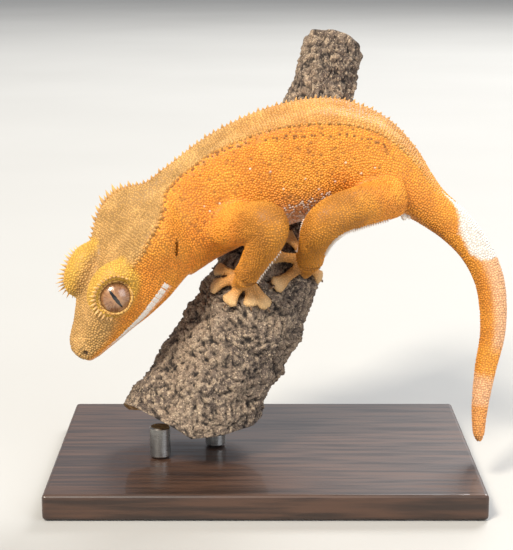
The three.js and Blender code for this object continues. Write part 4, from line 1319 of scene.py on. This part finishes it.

# %% [markdown]
# ### Bark, wood and steel
# The bark is painted near-black in its cracks as painted shade, and pale on the worn plates, with a little lichen grey.
# The board is stained wood with long grain, and the rods are brushed steel.

# %% Perch and stand materials
tree, place_in, result = group("Bark layers", {"Place": "Vector", "Depth": "Float"}, {"Color": "Color", "Height": "Float"})
broad = texture(tree, place_in["Place"], 0.09, 4.0).outputs["Fac"]
fine = texture(tree, place_in["Place"], 0.8, 6.0).outputs["Fac"]
grit = texture(tree, place_in["Place"], 2.6, 5.0).outputs["Fac"]
plate = mix(tree, ramp(tree, broad, 0.38, 0.62), color("5E5148"), color("7F6D5C"))
plate = mix(tree, ramp(tree, broad, 0.46, 0.34, 0, 0.6), plate, color("40332B"))
plate = mix(tree, ramp(tree, fine, 0.44, 0.7), plate, color("A5917A"))
plate = mix(tree, ramp(tree, grit, 0.58, 0.68, 0, 0.8), plate, color("D3BE9F"))
plate = mix(tree, ramp(tree, grit, 0.45, 0.34, 0, 0.8), plate, color("2B211C"))
# Painted shade in the furrows: the bark goes near-black where it lies deep.
crack = ramp(tree, calc(tree, "ADD", place_in["Depth"], calc(tree, "MULTIPLY", fine, 0.3)), -0.75, -0.25)
tree.links.new(mix(tree, crack, color("1C1511"), plate), result["Color"])
tree.links.new(calc(tree, "ADD", fine, calc(tree, "MULTIPLY", grit, 0.5)), result["Height"])
bark_layers = tree

tree, shader = material("bark", [perch], Roughness=0.9)
place = millimetres(tree)
layers = use(tree, bark_layers, {"Place": place, "Depth": named(tree, "depth")})
rings = calc(tree, "ADD", calc(tree, "MULTIPLY", named(tree, "ring"), 1.4), calc(tree, "MULTIPLY", texture(tree, place, 0.25).outputs["Fac"], 3.0))
year = ramp(tree, calc(tree, "SINE", calc(tree, "MULTIPLY", rings, 3.0)), -0.5, 0.9)
sawn = mix(tree, year, color("A67F52"), color("CBA779"))
tree.links.new(mix(tree, named(tree, "sawn"), layers["Color"], sawn), shader["Base Color"])
relief = node(tree, "Bump", {"Height": layers["Height"], "Strength": 0.9, "Distance": 0.0005})
tree.links.new(relief.outputs[0], shader["Normal"])

tree, shader = material("stained_wood", [stand_board], Roughness=0.42, Coat_Weight=0.25)
stretched = node(tree, "VectorMath", {0: millimetres(tree), 1: (0.02, 0.35, 0.35)}, operation="MULTIPLY").outputs[0]
grain = texture(tree, stretched, 2.2, 6.0)
tree.links.new(mix(tree, ramp(tree, grain.outputs["Fac"], 0.35, 0.68), color("2B1D16"), color("4A3224")), shader["Base Color"])
tree.links.new(ramp(tree, grain.outputs["Fac"], 0.3, 0.7, 0.36, 0.55), shader["Roughness"])
relief = node(tree, "Bump", {"Height": grain.outputs["Fac"], "Strength": 0.25, "Distance": 0.0002})
tree.links.new(relief.outputs[0], shader["Normal"])

tree, shader = material("brushed_steel", rods, Metallic=1.0)
stretched = node(tree, "VectorMath", {0: millimetres(tree), 1: (0.3, 0.3, 9.0)}, operation="MULTIPLY").outputs[0]
brushed = texture(tree, stretched, 1.5, 3.0).outputs["Fac"]
tree.links.new(mix(tree, brushed, color("8E8E8C"), color("C4C4C0")), shader["Base Color"])
tree.links.new(ramp(tree, brushed, 0.3, 0.7, 0.25, 0.42), shader["Roughness"])
print("materials:", len(bpy.data.materials))

# %% [markdown]
# ## Floor and light
# A pale, plain floor keeps the eye on the animal. One large soft key from the upper left front, a
# weaker fill and a rim light behind bring out the granules without hard shadows.

# %% Floor and lights
floor_mesh = bpy.data.meshes.new("floor")
floor_mesh.from_pydata([(-9, -9, 0), (9, -9, 0), (9, 9, 0), (-9, 9, 0)], [], [(0, 1, 2, 3)])
floor = bpy.data.objects.new("floor", floor_mesh)
floor.location.z = -0.0002
scene.collection.objects.link(floor)
tree, shader = material("pale_floor", [floor], Roughness=0.7)
cloud = texture(tree, millimetres(tree), 0.004, 3.0).outputs["Fac"]
tree.links.new(mix(tree, cloud, color("A9A8A4"), color("B5B4B0")), shader["Base Color"])


def area_light(name, place, size, power, tint="FFFFFF"):
    light = bpy.data.lights.new(name, "AREA")
    light.energy, light.size, light.color = power, size, color(tint)[:3]
    lamp = bpy.data.objects.new(name, light)
    lamp.location = place
    lamp.rotation_euler = (Vector((0, 0, 0.06)) - Vector(place)).to_track_quat("-Z", "Y").to_euler()
    scene.collection.objects.link(lamp)


area_light("key", (-0.84, -1.26, 1.74), 0.6, 76.0, "FFF6E8")
area_light("fill", (1.5, -1.25, 0.8), 1.4, 20.0, "F4F8FF")
area_light("rim", (0.75, 1.5, 1.55), 0.9, 48.0)
world = bpy.data.worlds.new("studio")
world.use_nodes = True
world.node_tree.nodes["Background"].inputs["Color"].default_value = (0.9, 0.93, 1, 1)
world.node_tree.nodes["Background"].inputs["Strength"].default_value = 0.5
scene.world = world
print("lights: key, fill and rim")
